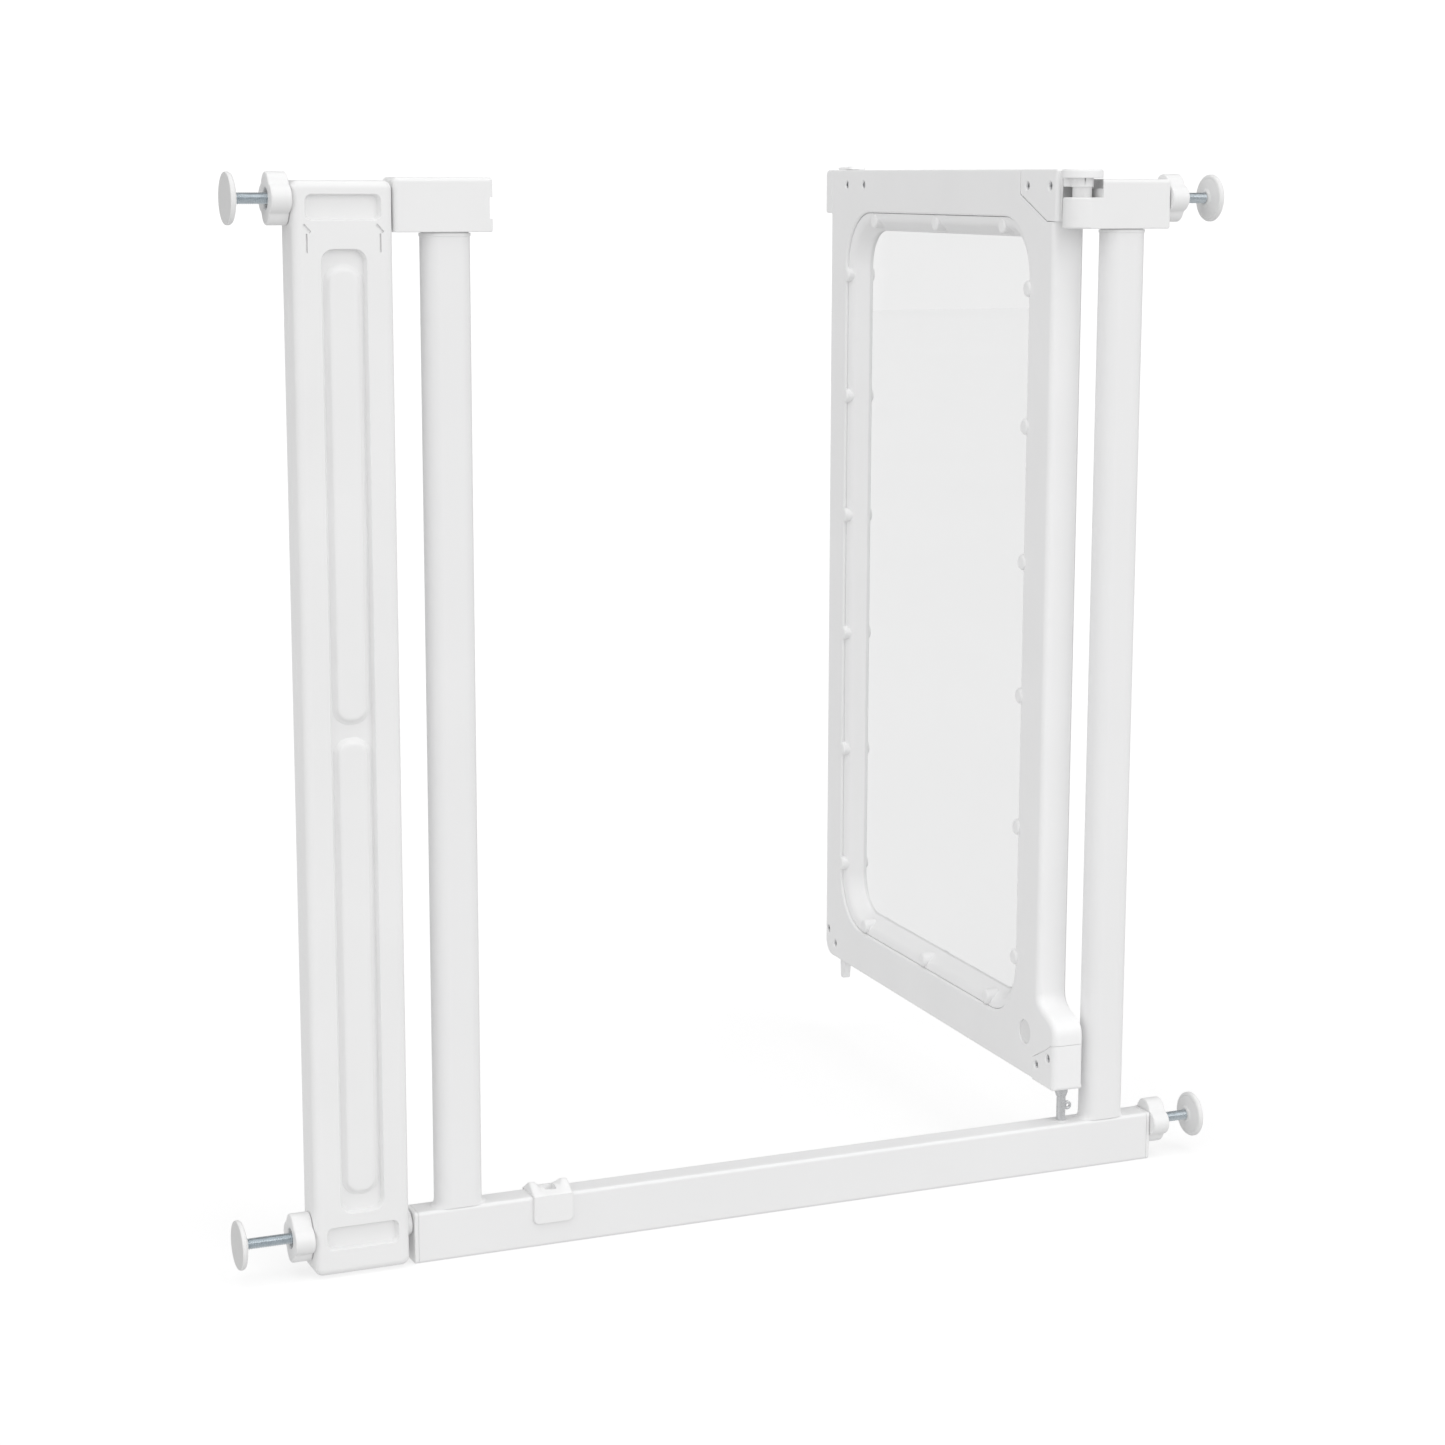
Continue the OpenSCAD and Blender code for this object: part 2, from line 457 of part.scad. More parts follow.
module lower_hinge_cap() color(white) in_door() difference() {
    along_x(-ht, ht) polygon([[foot_s, door_z0 - 1], [25.3, door_z0 - 1], [25.3, 83.5], [4.95, 93.9], [-4, 99.5], [foot_s, 101.2]]);
    round_edges();
    tenons(0.1);
    translate([0, 0, door_z0 - 3]) cylinder(r = 5 + fit, h = 32);
    for (p = foot_screws) { screw_hole(p[0], p[1], -10.4); screw_hole(p[0], p[1], -4, 1.75); }
}
module hinge_pin_spring() color(zinc) in_door() translate([0, 0, 80.2]) coil(3.9, 0.9, 14.6, 5);
module lower_hinge_pin() color(zinc) in_door() {
    translate([0, 0, 31]) cylinder(r = 3.5, h = 28);
    translate([0, 0, 58]) cylinder(r = 5, h = 22);
    // pull tab beside the pin
    difference() {
        union() {
            translate([5.2, -1.4, 49.6]) rotate([-90, 0, 0]) cylinder(r = 3.5, h = 2.8);
            blk([2, -1.4, 47.6], [5.2, 1.4, 51.6]);
        }
        translate([5.6, -3, 49.6]) rotate([-90, 0, 0]) cylinder(r = 1.4, h = 6);
    }
}
module latch_cap() color(white) in_door() difference() {
    union() {
        intersection() {
            rbox([-ht, door_s1 - 10, nose_z0], [ht, nose_s1, door_z1], 2);
            blk([-20, door_s1 + 0.1, 700], [20, 500, 800]);
        }
        // block inside the door's top corner
        blk([-9.8, 372, 741.6], [9.8, door_s1 + 1, door_z1 - 2.8]);
    }
    blk([-5.3, 378, bolt_z - 4.8], [5.3, nose_s1 + 1, bolt_z + 4.8]);
    blk([-4.3, 427.5, bolt_z], [4.3, 448, 780]);
    for (p = latch_screws) screw_hole(p[0], p[1], -5.6, 1.55);
}
module latch_bolt() color(soft_white) in_door()
    translate([0, 0, bolt_z - 4.5]) linear_extrude(9) polygon([[-5, 396], [5, 396], [5, 456.5], [2, nose_s1 - 0.6], [-2, nose_s1 - 0.6], [-5, 456.5]]);
module latch_button() color(white) in_door() {
    blk([-4, 428, bolt_z + 4.5], [4, 438, door_z1 + 0.4]);
    blk([-7.5, 419, door_z1 + 0.3], [7.5, 450, door_z1 + 2.2]);
    for (i = [0:4]) blk([-7.5, 423 + i*5, door_z1 + 2.2], [7.5, 425.4 + i*5, door_z1 + 3.2]);
}
module bolt_spring() color(zinc) in_door() translate([0, 378.4, bolt_z]) rotate([-90, 0, 0]) coil(3.7, 1, 17, 6);
module drop_tongue() color(white) in_door() difference() {
    union() {
        shoe_block(0);
        along_x(-5.5, 1.5) polygon([[tongue_s - 6, door_z0 + 1], [tongue_s - 3, 45.6], [tongue_s + 3, 45.6], [tongue_s + 5, door_z0 + 1]]);
    }
    for (p = shoe_screws) screw_hole(p[0], p[1], -3, 1.55);
}
module screw(s, z, seat, tip) translate([0, s, z]) rotate([0, 90, 0]) {
    translate([0, 0, seat - 1.4]) cylinder(r = 2.9, h = 1.4);
    translate([0, 0, seat]) cylinder(r = 1.5, h = tip - seat);
}
module door_screws() color(zinc) in_door() {
    for (p = cap_screws) screw(p[0], p[1], -10.4, -1.2);
    for (p = foot_screws) screw(p[0], p[1], -10.4, p[0] < 5 ? -5.4 : -1.2);
    for (p = latch_screws) screw(p[0], p[1], -11.2, -6);
    for (p = shoe_screws) screw(p[0], p[1], -10.4, -3.4);
}
module round_plug() color(soft_white) in_door() translate([-ht + 0.8, 39.7, 100.1]) rotate([0, 90, 0]) cylinder(r = 9.5, h = 3.1);

bottom_rail();
rail_end_plug_left();
rail_end_plug_right();
left_upright();
right_upright();
latch_keeper();
hinge_bracket();
lower_hinge_bush();
floor_catch();
housing_screws();
panel_front_shell();
panel_back_shell();
panel_screws();
connector_studs();
connector_nuts();
rod_left_upper();
rod_left_lower();
rod_right_upper();
rod_right_lower();
wall_pad_left_upper();
wall_pad_left_lower();
wall_pad_right_upper();
wall_pad_right_lower();
hand_nut_left_upper();
hand_nut_left_lower();
hand_nut_right_upper();
hand_nut_right_lower();
nut_insert_left_upper();
nut_insert_left_lower();
nut_insert_right_upper();
nut_insert_right_lower();
upper_hinge_bush();
door_frame();
door_back_cover();
window_bezel_front();
window_bezel_rear();
clear_window();
bezel_studs_front();
bezel_studs_rear();
upper_hinge_cap();
upper_hinge_pivot();
lower_hinge_cap();
hinge_pin_spring();
lower_hinge_pin();
latch_cap();
latch_bolt();
latch_button();
bolt_spring();
drop_tongue();
door_screws();
round_plug();
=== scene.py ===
import math
import bpy
import bmesh
from mathutils import Matrix, Vector
from mathutils.geometry import tessellate_polygon


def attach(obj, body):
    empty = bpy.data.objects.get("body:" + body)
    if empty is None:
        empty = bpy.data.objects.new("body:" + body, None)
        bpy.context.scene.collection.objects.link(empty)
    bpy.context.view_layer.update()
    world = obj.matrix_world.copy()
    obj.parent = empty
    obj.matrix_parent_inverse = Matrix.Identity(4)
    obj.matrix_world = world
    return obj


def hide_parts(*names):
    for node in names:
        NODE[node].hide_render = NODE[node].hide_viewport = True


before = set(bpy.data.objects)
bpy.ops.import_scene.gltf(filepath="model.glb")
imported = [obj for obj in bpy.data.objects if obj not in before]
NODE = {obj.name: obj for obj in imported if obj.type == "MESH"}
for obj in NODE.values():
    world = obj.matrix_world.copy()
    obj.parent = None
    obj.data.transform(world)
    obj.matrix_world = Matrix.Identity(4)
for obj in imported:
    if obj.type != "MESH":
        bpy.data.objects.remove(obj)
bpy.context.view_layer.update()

MM = 0.001

# ------------------------------------------------------------------ axes
DEV = math.radians(2.63)
AX = 228.0


def XZ(u, v, w):            # plate in the gate's plane, thickness along Y
    return Vector((u, w, v)) * MM


def YZ(u, v, w):            # section across the gate, length along X
    return Vector((w, u, v)) * MM


def XY(u, v, w):            # plan view, height along Z
    return Vector((u, v, w)) * MM


def door(w, s, z):          # across the door, along the door, up
    return Vector((AX + w * math.cos(DEV) + s * math.sin(DEV),
                   -w * math.sin(DEV) + s * math.cos(DEV), z)) * MM


def DSZ(u, v, w):           # plate in the door's plane
    return door(w, u, v)


def DWS(u, v, w):           # plan view of the door
    return door(u, v, w)


def DWZ(u, v, w):           # section across the door, length along it
    return door(u, w, v)


# ------------------------------------------------------------------ mesh tools
def make(name, verts, faces):
    me = bpy.data.meshes.new(name)
    me.from_pydata([tuple(v) for v in verts], [], faces)
    bm = bmesh.new()
    bm.from_mesh(me)
    bmesh.ops.remove_doubles(bm, verts=bm.verts, dist=2e-7)
    bmesh.ops.dissolve_degenerate(bm, edges=bm.edges, dist=1e-7)
    bmesh.ops.recalc_face_normals(bm, faces=bm.faces)
    bm.to_mesh(me)
    bm.free()
    ob = bpy.data.objects.new(name, me)
    bpy.context.scene.collection.objects.link(ob)
    return ob


def path(corners, seg=6):
    """Closed outline from (x, y, corner radius, front edge radius, back edge radius); the edge radii belong to the edge that leaves the corner."""
    out = []
    n = len(corners)
    for i in range(n):
        x, y, r, rf, rb = corners[i]
        p = Vector((x, y))
        if r <= 0:
            out.append((x, y, rf, rb))
            continue
        a = Vector(corners[i - 1][:2])
        b = Vector(corners[(i + 1) % n][:2])
        d0 = (p - a).normalized()
        d1 = (b - p).normalized()
        turn = math.atan2(d0.x * d1.y - d0.y * d1.x, d0.dot(d1))
        t = r * math.tan(abs(turn) / 2)
        t = min(t, (p - a).length * 0.499, (b - p).length * 0.499)
        r = t / math.tan(abs(turn) / 2)
        s = 1 if turn > 0 else -1
        c = p - d0 * t + Vector((-d0.y, d0.x)) * r * s
        st = p - d0 * t - c
        k = max(2, int(math.ceil(seg * abs(turn) / (math.pi / 2))))
        pf, pb = corners[i - 1][3], corners[i - 1][4]
        for j in range(k + 1):
            q = turn * j / k
            v = Vector((st.x * math.cos(q) - st.y * math.sin(q), st.x * math.sin(q) + st.y * math.cos(q))) + c
            m = min(1.0, (j + 0.5) / k)
            if j == k:
                m = 1.0
            out.append((v.x, v.y, pf * (1 - m) + rf * m, pb * (1 - m) + rb * m))
    return out


def rrect(cx, cy, w, h, r, rf=0.0, rb=0.0, seg=8, hole=False):
    x0, x1, y0, y1 = cx - w / 2, cx + w / 2, cy - h / 2, cy + h / 2
    pts = path([(x0, y0, r, rf, rb), (x1, y0, r, rf, rb), (x1, y1, r, rf, rb), (x0, y1, r, rf, rb)], seg)
    return pts[::-1] if hole else pts


def ring(cx, cy, r, rf=0.0, rb=0.0, n=32, hole=False):
    pts = [(cx + r * math.cos(2 * math.pi * i / n), cy + r * math.sin(2 * math.pi * i / n), rf, rb) for i in range(n)]
    return pts[::-1] if hole else pts


def inset(P, D):
    out = []
    n = len(P)
    for i in range(n):
        p = Vector(P[i][:2])
        a, b = Vector(P[i - 1][:2]), Vector(P[(i + 1) % n][:2])
        e0, e1 = (p - a).normalized(), (b - p).normalized()
        n0, n1 = Vector((-e0.y, e0.x)), Vector((-e1.y, e1.x))
        d0, d1 = D[i - 1], D[i]
        cr = n0.x * n1.y - n0.y * n1.x
        if abs(cr) < 0.35:
            m = (n0 + n1).normalized()
            v = m * ((d0 + d1) / 2) / max(0.5, m.dot(n0))
        else:
            v = Vector(((d0 * n1.y - d1 * n0.y) / cr, (n0.x * d1 - n1.x * d0) / cr))
        out.append(p + v)
    return out


def bulge(r, t):
    return r - math.sqrt(max(0.0, r * r - (r - t) ** 2)) if t < r else 0.0


def plate(name, loops, w0, w1, to3d, steps=5, extra=None):
    """Solid between w0 and w1 from closed outlines (the first goes round, the others are holes), with each edge rounded by its own radius at both faces."""
    T = w1 - w0
    ts = {0.0, T}
    radii_f = sorted({round(q[2], 2) for lp in loops for q in lp if q[2] > 0.01})
    radii_b = sorted({round(q[3], 2) for lp in loops for q in lp if q[3] > 0.01})
    if len(radii_f) > 4:
        radii_f = [radii_f[0], radii_f[len(radii_f) // 2], radii_f[-1]]
    if len(radii_b) > 4:
        radii_b = [radii_b[0], radii_b[len(radii_b) // 2], radii_b[-1]]
    for r in radii_f:
        for i in range(steps + 1):
            ts.add(r * (1 - math.cos(math.pi / 2 * i / steps)))
    for r in radii_b:
        for i in range(steps + 1):
            ts.add(T - r * (1 - math.cos(math.pi / 2 * i / steps)))
    for t in (extra or []):
        ts.add(t)
    lv = []
    for t in sorted(ts):
        if t < -1e-6 or t > T + 1e-6:
            continue
        if lv and t - lv[-1] < 0.02:
            if abs(t - T) < 1e-9:
                lv[-1] = t
            continue
        lv.append(t)
    verts, faces, rows = [], [], []
    for t in lv:
        row = []
        for lp in loops:
            D = [max(bulge(q[2], t), bulge(q[3], T - t)) for q in lp]
            pts = inset(lp, D)
            row.append((len(verts), len(pts), pts))
            verts += [to3d(p.x, p.y, w0 + t) for p in pts]
        rows.append(row)
    for a, b in zip(rows, rows[1:]):
        for (sa, n, _), (sb, _, _) in zip(a, b):
            for i in range(n):
                j = (i + 1) % n
                faces.append((sa + i, sa + j, sb + j, sb + i))
    for row in (rows[0], rows[-1]):
        if len(row) == 1:
            s, n, _ = row[0]
            faces.append(tuple(range(s, s + n)))
        else:
            flat = [s + i for s, n, _ in row for i in range(n)]
            for tri in tessellate_polygon([[Vector((p.x, p.y, 0)) for p in pts] for _, _, pts in row]):
                faces.append(tuple(flat[k] for k in tri))
    return make(name, verts, faces)


def lathe(name, prof, to3d, n=40):
    """Solid of revolution; prof is (radius, distance along the axis), and to3d takes (a, b, distance)."""
    verts, faces, rows = [], [], []
    for r, t in prof:
        if r < 1e-6:
            rows.append([len(verts)])
            verts.append(to3d(0, 0, t))
        else:
            rows.append(list(range(len(verts), len(verts) + n)))
            verts += [to3d(r * math.cos(2 * math.pi * i / n), r * math.sin(2 * math.pi * i / n), t) for i in range(n)]
    closed = prof[0][0] > 1e-6
    pairs = list(zip(rows, rows[1:])) + ([(rows[-1], rows[0])] if closed else [])
    for a, b in pairs:
        for i in range(n):
            j = (i + 1) % n
            if len(a) == 1 and len(b) == 1:
                continue
            if len(a) == 1:
                faces.append((a[0], b[j], b[i]))
            elif len(b) == 1:
                faces.append((a[i], a[j], b[0]))
            else:
                faces.append((a[i], a[j], b[j], b[i]))
    return make(name, verts, faces)


def smooth_prof(pts, seg=5):
    """Open lathe profile from (radius, distance, corner radius)."""
    out = []
    for i, (x, y, r) in enumerate(pts):
        p = Vector((x, y))
        if r <= 0 or i in (0, len(pts) - 1):
            out.append((x, y))
            continue
        a, b = Vector(pts[i - 1][:2]), Vector(pts[i + 1][:2])
        d0, d1 = (p - a).normalized(), (b - p).normalized()
        turn = math.atan2(d0.x * d1.y - d0.y * d1.x, d0.dot(d1))
        if abs(turn) < 0.02:
            out.append((x, y))
            continue
        t = min(r * math.tan(abs(turn) / 2), (p - a).length * 0.49, (b - p).length * 0.49)
        rr = t / math.tan(abs(turn) / 2)
        s = 1 if turn > 0 else -1
        c = p - d0 * t + Vector((-d0.y, d0.x)) * rr * s
        st = p - d0 * t - c
        k = max(2, int(math.ceil(seg * abs(turn) / (math.pi / 2))))
        for j in range(k + 1):
            q = turn * j / k
            out.append((st.x * math.cos(q) - st.y * math.sin(q) + c.x, st.x * math.sin(q) + st.y * math.cos(q) + c.y))
    return out


def about(cx, cy, base):
    return lambda a, b, t: base(cx + a, cy + b, t)


def rings(name, loops3d, close_caps=False, closed_tube=True):
    """Skin through loops of equal length; a closed tube joins the last loop to the first."""
    verts, faces = [], []
    n = len(loops3d[0])
    for lp in loops3d:
        verts += lp
    m = len(loops3d)
    for k in range(m if closed_tube else m - 1):
        a, b = k * n, ((k + 1) % m) * n
        for i in range(n):
            j = (i + 1) % n
            faces.append((a + i, a + j, b + j, b + i))
    if close_caps:
        faces.append(tuple(range(n)))
        faces.append(tuple(range((m - 1) * n, m * n)))
    return make(name, verts, faces)


def boolean(ob, others, op="DIFFERENCE"):
    for o in (others if isinstance(others, (list, tuple)) else [others]):
        m = ob.modifiers.new("b", "BOOLEAN")
        m.object = o
        m.operation = op
        m.solver = "EXACT"
        bpy.context.view_layer.update()
        dg = bpy.context.evaluated_depsgraph_get()
        me = bpy.data.meshes.new_from_object(ob.evaluated_get(dg))
        ob.modifiers.clear()
        old = ob.data
        ob.data = me
        bpy.data.meshes.remove(old)
        gone = o.data
        bpy.data.objects.remove(o)
        bpy.data.meshes.remove(gone)
    bm = bmesh.new()
    bm.from_mesh(ob.data)
    bmesh.ops.remove_doubles(bm, verts=bm.verts, dist=2e-6)
    bmesh.ops.dissolve_degenerate(bm, edges=bm.edges, dist=2e-6)
    bm.to_mesh(ob.data)
    bm.free()
    return ob


def merge(name, obs):
    """Several separate solids as one object."""
    bm = bmesh.new()
    for o in obs:
        bm.from_mesh(o.data)
    me = bpy.data.meshes.new(name)
    bm.to_mesh(me)
    bm.free()
    ob = bpy.data.objects.new(name, me)
    bpy.context.scene.collection.objects.link(ob)
    for o in obs:
        d = o.data
        bpy.data.objects.remove(o)
        bpy.data.meshes.remove(d)
    return ob


def box(a, b, to3d, r=0.0, name="c"):
    """Block between two corners in a plate's own coordinates, edges rounded by r."""
    return plate(name, [rrect((a[0] + b[0]) / 2, (a[1] + b[1]) / 2, b[0] - a[0], b[1] - a[1], r, r, r, 6) if r > 0 else
                        [(a[0], a[1], 0, 0), (b[0], a[1], 0, 0), (b[0], b[1], 0, 0), (a[0], b[1], 0, 0)]], a[2], b[2], to3d)


def put(ob, body, slot, material, *nodes, angle=38):
    me = ob.data
    me.materials.clear()
    me.materials.append(material)
    for p in me.polygons:
        p.use_smooth = True
        p.material_index = 0
    me.set_sharp_from_angle(angle=math.radians(angle))
    m = ob.modifiers.new("normals", "WEIGHTED_NORMAL")
    m.mode = "FACE_AREA"
    m.weight = 50
    m.keep_sharp = True
    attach(ob, body)
    if nodes:
        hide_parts(*nodes)
    return ob


# ------------------------------------------------------------------ materials
def nodes_of(name):
    m = bpy.data.materials.new(name)
    m.use_nodes = True
    nt = m.node_tree
    nt.nodes.clear()
    out = nt.nodes.new("ShaderNodeOutputMaterial")
    bs = nt.nodes.new("ShaderNodeBsdfPrincipled")
    nt.links.new(bs.outputs[0], out.inputs[0])
    tc = nt.nodes.new("ShaderNodeTexCoord")
    return m, nt, bs, tc


def noise(nt, tc, scale, detail=2.0, rough=0.5, stretch=None):
    n = nt.nodes.new("ShaderNodeTexNoise")
    n.inputs["Scale"].default_value = scale
    n.inputs["Detail"].default_value = detail
    n.inputs["Roughness"].default_value = rough
    src = tc.outputs["Object"]
    if stretch:
        mp = nt.nodes.new("ShaderNodeMapping")
        mp.inputs["Scale"].default_value = stretch
        nt.links.new(src, mp.inputs["Vector"])
        src = mp.outputs[0]
    nt.links.new(src, n.inputs["Vector"])
    return n.outputs[0]


def spread(nt, value, lo, hi, a=0.3, b=0.7):
    m = nt.nodes.new("ShaderNodeMapRange")
    m.inputs["From Min"].default_value = a
    m.inputs["From Max"].default_value = b
    m.inputs["To Min"].default_value = lo
    m.inputs["To Max"].default_value = hi
    nt.links.new(value, m.inputs["Value"])
    return m.outputs[0]


def tint(nt, value, c0, c1, a=0.3, b=0.7):
    r = nt.nodes.new("ShaderNodeValToRGB")
    r.color_ramp.elements[0].position = a
    r.color_ramp.elements[1].position = b
    r.color_ramp.elements[0].color = (*c0, 1)
    r.color_ramp.elements[1].color = (*c1, 1)
    nt.links.new(value, r.inputs[0])
    return r.outputs[0]


def bumps(nt, bs, layers):
    last = None
    for value, strength, dist in layers:
        b = nt.nodes.new("ShaderNodeBump")
        b.inputs["Strength"].default_value = strength
        b.inputs["Distance"].default_value = dist
        nt.links.new(value, b.inputs["Height"])
        if last:
            nt.links.new(last, b.inputs["Normal"])
        last = b.outputs[0]
    nt.links.new(last, bs.inputs["Normal"])


def plastic(name, c, rough, grain, grain_scale, spec=0.5, vary=0.012, rv=0.05):
    m, nt, bs, tc = nodes_of(name)
    big = noise(nt, tc, 14, 3)
    lo = tuple(x - vary for x in c)
    hi = tuple(min(1, x + vary * 0.6) for x in c)
    nt.links.new(tint(nt, big, lo, hi), bs.inputs["Base Color"])
    nt.links.new(spread(nt, noise(nt, tc, 60, 4, 0.6), rough - rv, rough + rv), bs.inputs["Roughness"])
    bs.inputs["Specular IOR Level"].default_value = spec
    bumps(nt, bs, [(noise(nt, tc, 220, 2), 0.10, 0.00012), (noise(nt, tc, grain_scale, 3, 0.6), grain, 0.00006)])
    bs.inputs["Specular IOR Level"].default_value = 0.3
    return m


def powder_coat(name, c):
    m, nt, bs, tc = nodes_of(name)
    big = noise(nt, tc, 9, 3)
    nt.links.new(tint(nt, big, tuple(x - 0.012 for x in c), tuple(min(1, x + 0.006) for x in c)), bs.inputs["Base Color"])
    nt.links.new(spread(nt, noise(nt, tc, 320, 3, 0.6), 0.33, 0.46), bs.inputs["Roughness"])
    bs.inputs["Specular IOR Level"].default_value = 0.5
    bs.inputs["Coat Weight"].default_value = 0.12
    bs.inputs["Coat Roughness"].default_value = 0.25
    peel = noise(nt, tc, 520, 2, 0.45)
    fine = noise(nt, tc, 2600, 2, 0.5)
    bumps(nt, bs, [(peel, 0.22, 0.00010), (fine, 0.10, 0.00004)])
    bs.inputs["Specular IOR Level"].default_value = 0.32
    return m


def zinc(name, c, rough=0.27):
    m, nt, bs, tc = nodes_of(name)
    cloud = noise(nt, tc, 260, 4, 0.6)
    nt.links.new(tint(nt, cloud, tuple(x * 0.9 for x in c), c), bs.inputs["Base Color"])
    bs.inputs["Metallic"].default_value = 1.0
    lines = noise(nt, tc, 900, 2, 0.5, stretch=(0.25, 1.6, 1.6))
    nt.links.new(spread(nt, lines, rough - 0.06, rough + 0.12), bs.inputs["Roughness"])
    bumps(nt, bs, [(lines, 0.18, 0.00005), (cloud, 0.12, 0.00004)])
    return m


def acrylic(name):
    m, nt, bs, tc = nodes_of(name)
    haze = noise(nt, tc, 30, 3)
    nt.links.new(tint(nt, haze, (0.20, 0.205, 0.21), (0.23, 0.235, 0.24)), bs.inputs["Base Color"])
    nt.links.new(spread(nt, noise(nt, tc, 90, 3), 0.02, 0.07), bs.inputs["Roughness"])
    bs.inputs["Alpha"].default_value = 0.138
    bs.inputs["IOR"].default_value = 1.49
    bumps(nt, bs, [(noise(nt, tc, 18, 2), 0.05, 0.0004)])
    return m


M_COAT = powder_coat("white_powder_coat", (0.86, 0.86, 0.862))
M_WHITE = plastic("white_plastic", (0.865, 0.865, 0.865), 0.36, 0.10, 2400)
M_DOOR = plastic("white_plastic_door", (0.905, 0.905, 0.907), 0.42, 0.12, 1900)
M_SATIN = plastic("satin_white_plastic", (0.80, 0.80, 0.80), 0.52, 0.16, 1600)
M_PAD = plastic("satin_white_plastic_pad", (0.83, 0.83, 0.828), 0.50, 0.18, 1300)
# darker, rougher white given to the flat face of each wall pad
M_PAD_FACE_DARKER = plastic("satin_white_plastic_wall_face", (0.69, 0.69, 0.688), 0.62, 0.24, 1100)
M_ZINC = zinc("zinc_steel", (0.68, 0.74, 0.78))
M_SCREW = zinc("zinc_steel_screw", (0.60, 0.61, 0.62), 0.34)
M_PIN = zinc("zinc_steel_pin", (0.74, 0.75, 0.76), 0.30)
M_CLEAR = acrylic("clear_acrylic")

# ------------------------------------------------------------------ camera first
cam_data = bpy.data.cameras.new("camera")
cam_data.sensor_width = 36.0
cam_data.lens = 3007.36 / 1445 * 36.0
cam_data.clip_end = 60
cam = bpy.data.objects.new("camera", cam_data)
bpy.context.scene.collection.objects.link(cam)
yaw, pitch, roll = math.radians(23.32), math.radians(10.26), math.radians(0.14)
f = Vector((math.sin(yaw) * math.cos(pitch), math.cos(yaw) * math.cos(pitch), -math.sin(pitch)))
r = Vector((math.cos(yaw), -math.sin(yaw), 0))
u = r.cross(f)
r2 = r * math.cos(roll) + u * math.sin(roll)
u2 = -r * math.sin(roll) + u * math.cos(roll)
rot = Matrix((r2, u2, -f)).transposed().to_4x4()
cam.matrix_world = Matrix.Translation(Vector((-0.90939, -1.96894, 0.76183))) @ rot
bpy.context.scene.camera = cam

# ------------------------------------------------------------------ frame
RL = 302.5
PX0, PX1 = -376.2, -307.2
PCX = (PX0 + PX1) / 2
HZ0, GH = 725.6, 762.0
Z_HI, Z_LO = 748.0, 28.5


def rail_section(rf, rb, shrink=0.0):
    return rrect(0, 19, 22 - 2 * shrink, 38 - 2 * shrink, 2.6 - shrink, rf, rb, 7)


rail = plate("rail_tube", [rail_section(0.25, 0.25)], -RL + 3.12, RL - 3.12, YZ)
boolean(rail, plate("c", [ring(AX, 0, 5.0, n=32)], 20, 45, XY))
put(rail, "frame", "white_powder_coat", M_COAT, "bottom_rail")


def end_plug(side):
    name = "rail_end_cap_" + ("right" if side > 0 else "left")
    a, b = (RL - 3, RL) if side > 0 else (-RL, -RL + 3)
    rf, rb = (0.25, 0.9) if side > 0 else (0.9, 0.25)
    body = plate(name, [rail_section(rf, rb), ring(0, Z_LO, 4.03, 0.3, 0.3, 32, True)], a, b, YZ)
    return put(body, "frame", "satin_white_plastic", M_WHITE, "rail_end_plug_" + ("right" if side > 0 else "left"))


end_plug(-1)
end_plug(1)


def upright(name, cx, node):
    """Oval tube that stands on the rail, with a weld fillet on its left and right."""
    base = rrect(0, 0, 34.5, 22, 10.4, 0, 0, 12)
    # fillet: how far the foot spreads at each height
    rows = [(38.0, 4.0), (38.15, 3.2), (38.5, 2.35), (39.1, 1.5), (39.9, 0.85), (41.0, 0.35), (42.6, 0.08), (44.5, 0.0), (120, 0.0), (400, 0.0), (640, 0.0), (722.7, 0.0), (722.8, 0.42), (723.0, 0.5), (724.7, 0.5), (724.9, 0.4), (724.95, -0.7), (726.5, -0.7), (737.8, -0.7)]
    loops = []
    for z, d in rows:
        lp = []
        for x, y, _, _ in base:
            nx = max(-1.0, min(1.0, x / 17.25))
            k = abs(nx) ** 1.3 * (1 if nx > 0 else -1)
            flat = (1 - abs(y) / 11.0) ** 0.5 if abs(y) < 11 else 0
            if z > 700:                          # collar and groove run all the way round
                lp.append(XY(cx + x * (1 + d / 17.25), y * (1 + d / 11.0), z))
                continue
            lp.append(XY(cx + x + k * d * (0.35 + 0.65 * flat), y, z))
        loops.append(lp)
    ob = rings(name, loops, close_caps=True, closed_tube=False)
    return put(ob, "frame", "white_powder_coat", M_COAT, node)


upright("upright_tube_left", -266.5, "left_upright")
upright("upright_tube_right", 262.6, "right_upright")

# latch keeper: rounded housing with a groove and pocket for the bolt
KX0, KX1 = -306.3, -236.5
keeper = plate("latch_keeper_housing", [path([(KX0, HZ0, 1.6, 0.7, 0.7), (KX1, HZ0, 1.2, 0.9, 0.9), (KX1, GH, 1.8, 3.2, 3.2), (KX0, GH, 3.2, 4.0, 4.0)], 8)], -14, 14, XZ)
boolean(keeper, [
    plate("c", [path([(KX1 - 2.2, 734.4, 0.6, 0.0, 0.0), (KX1 + 4, 734.4, 0, 0, 0), (KX1 + 4, 748.7, 0, 0, 0), (KX1 - 2.2, 748.7, 0.6, 0.0, 0.0)], 4)], -20, 20, XZ),
    box((KX1 - 9.5, -7, 735.2), (KX1 + 2, 7, 747.6), XY, 0.0)])
put(keeper, "frame", "white_plastic", M_WHITE, "latch_keeper")

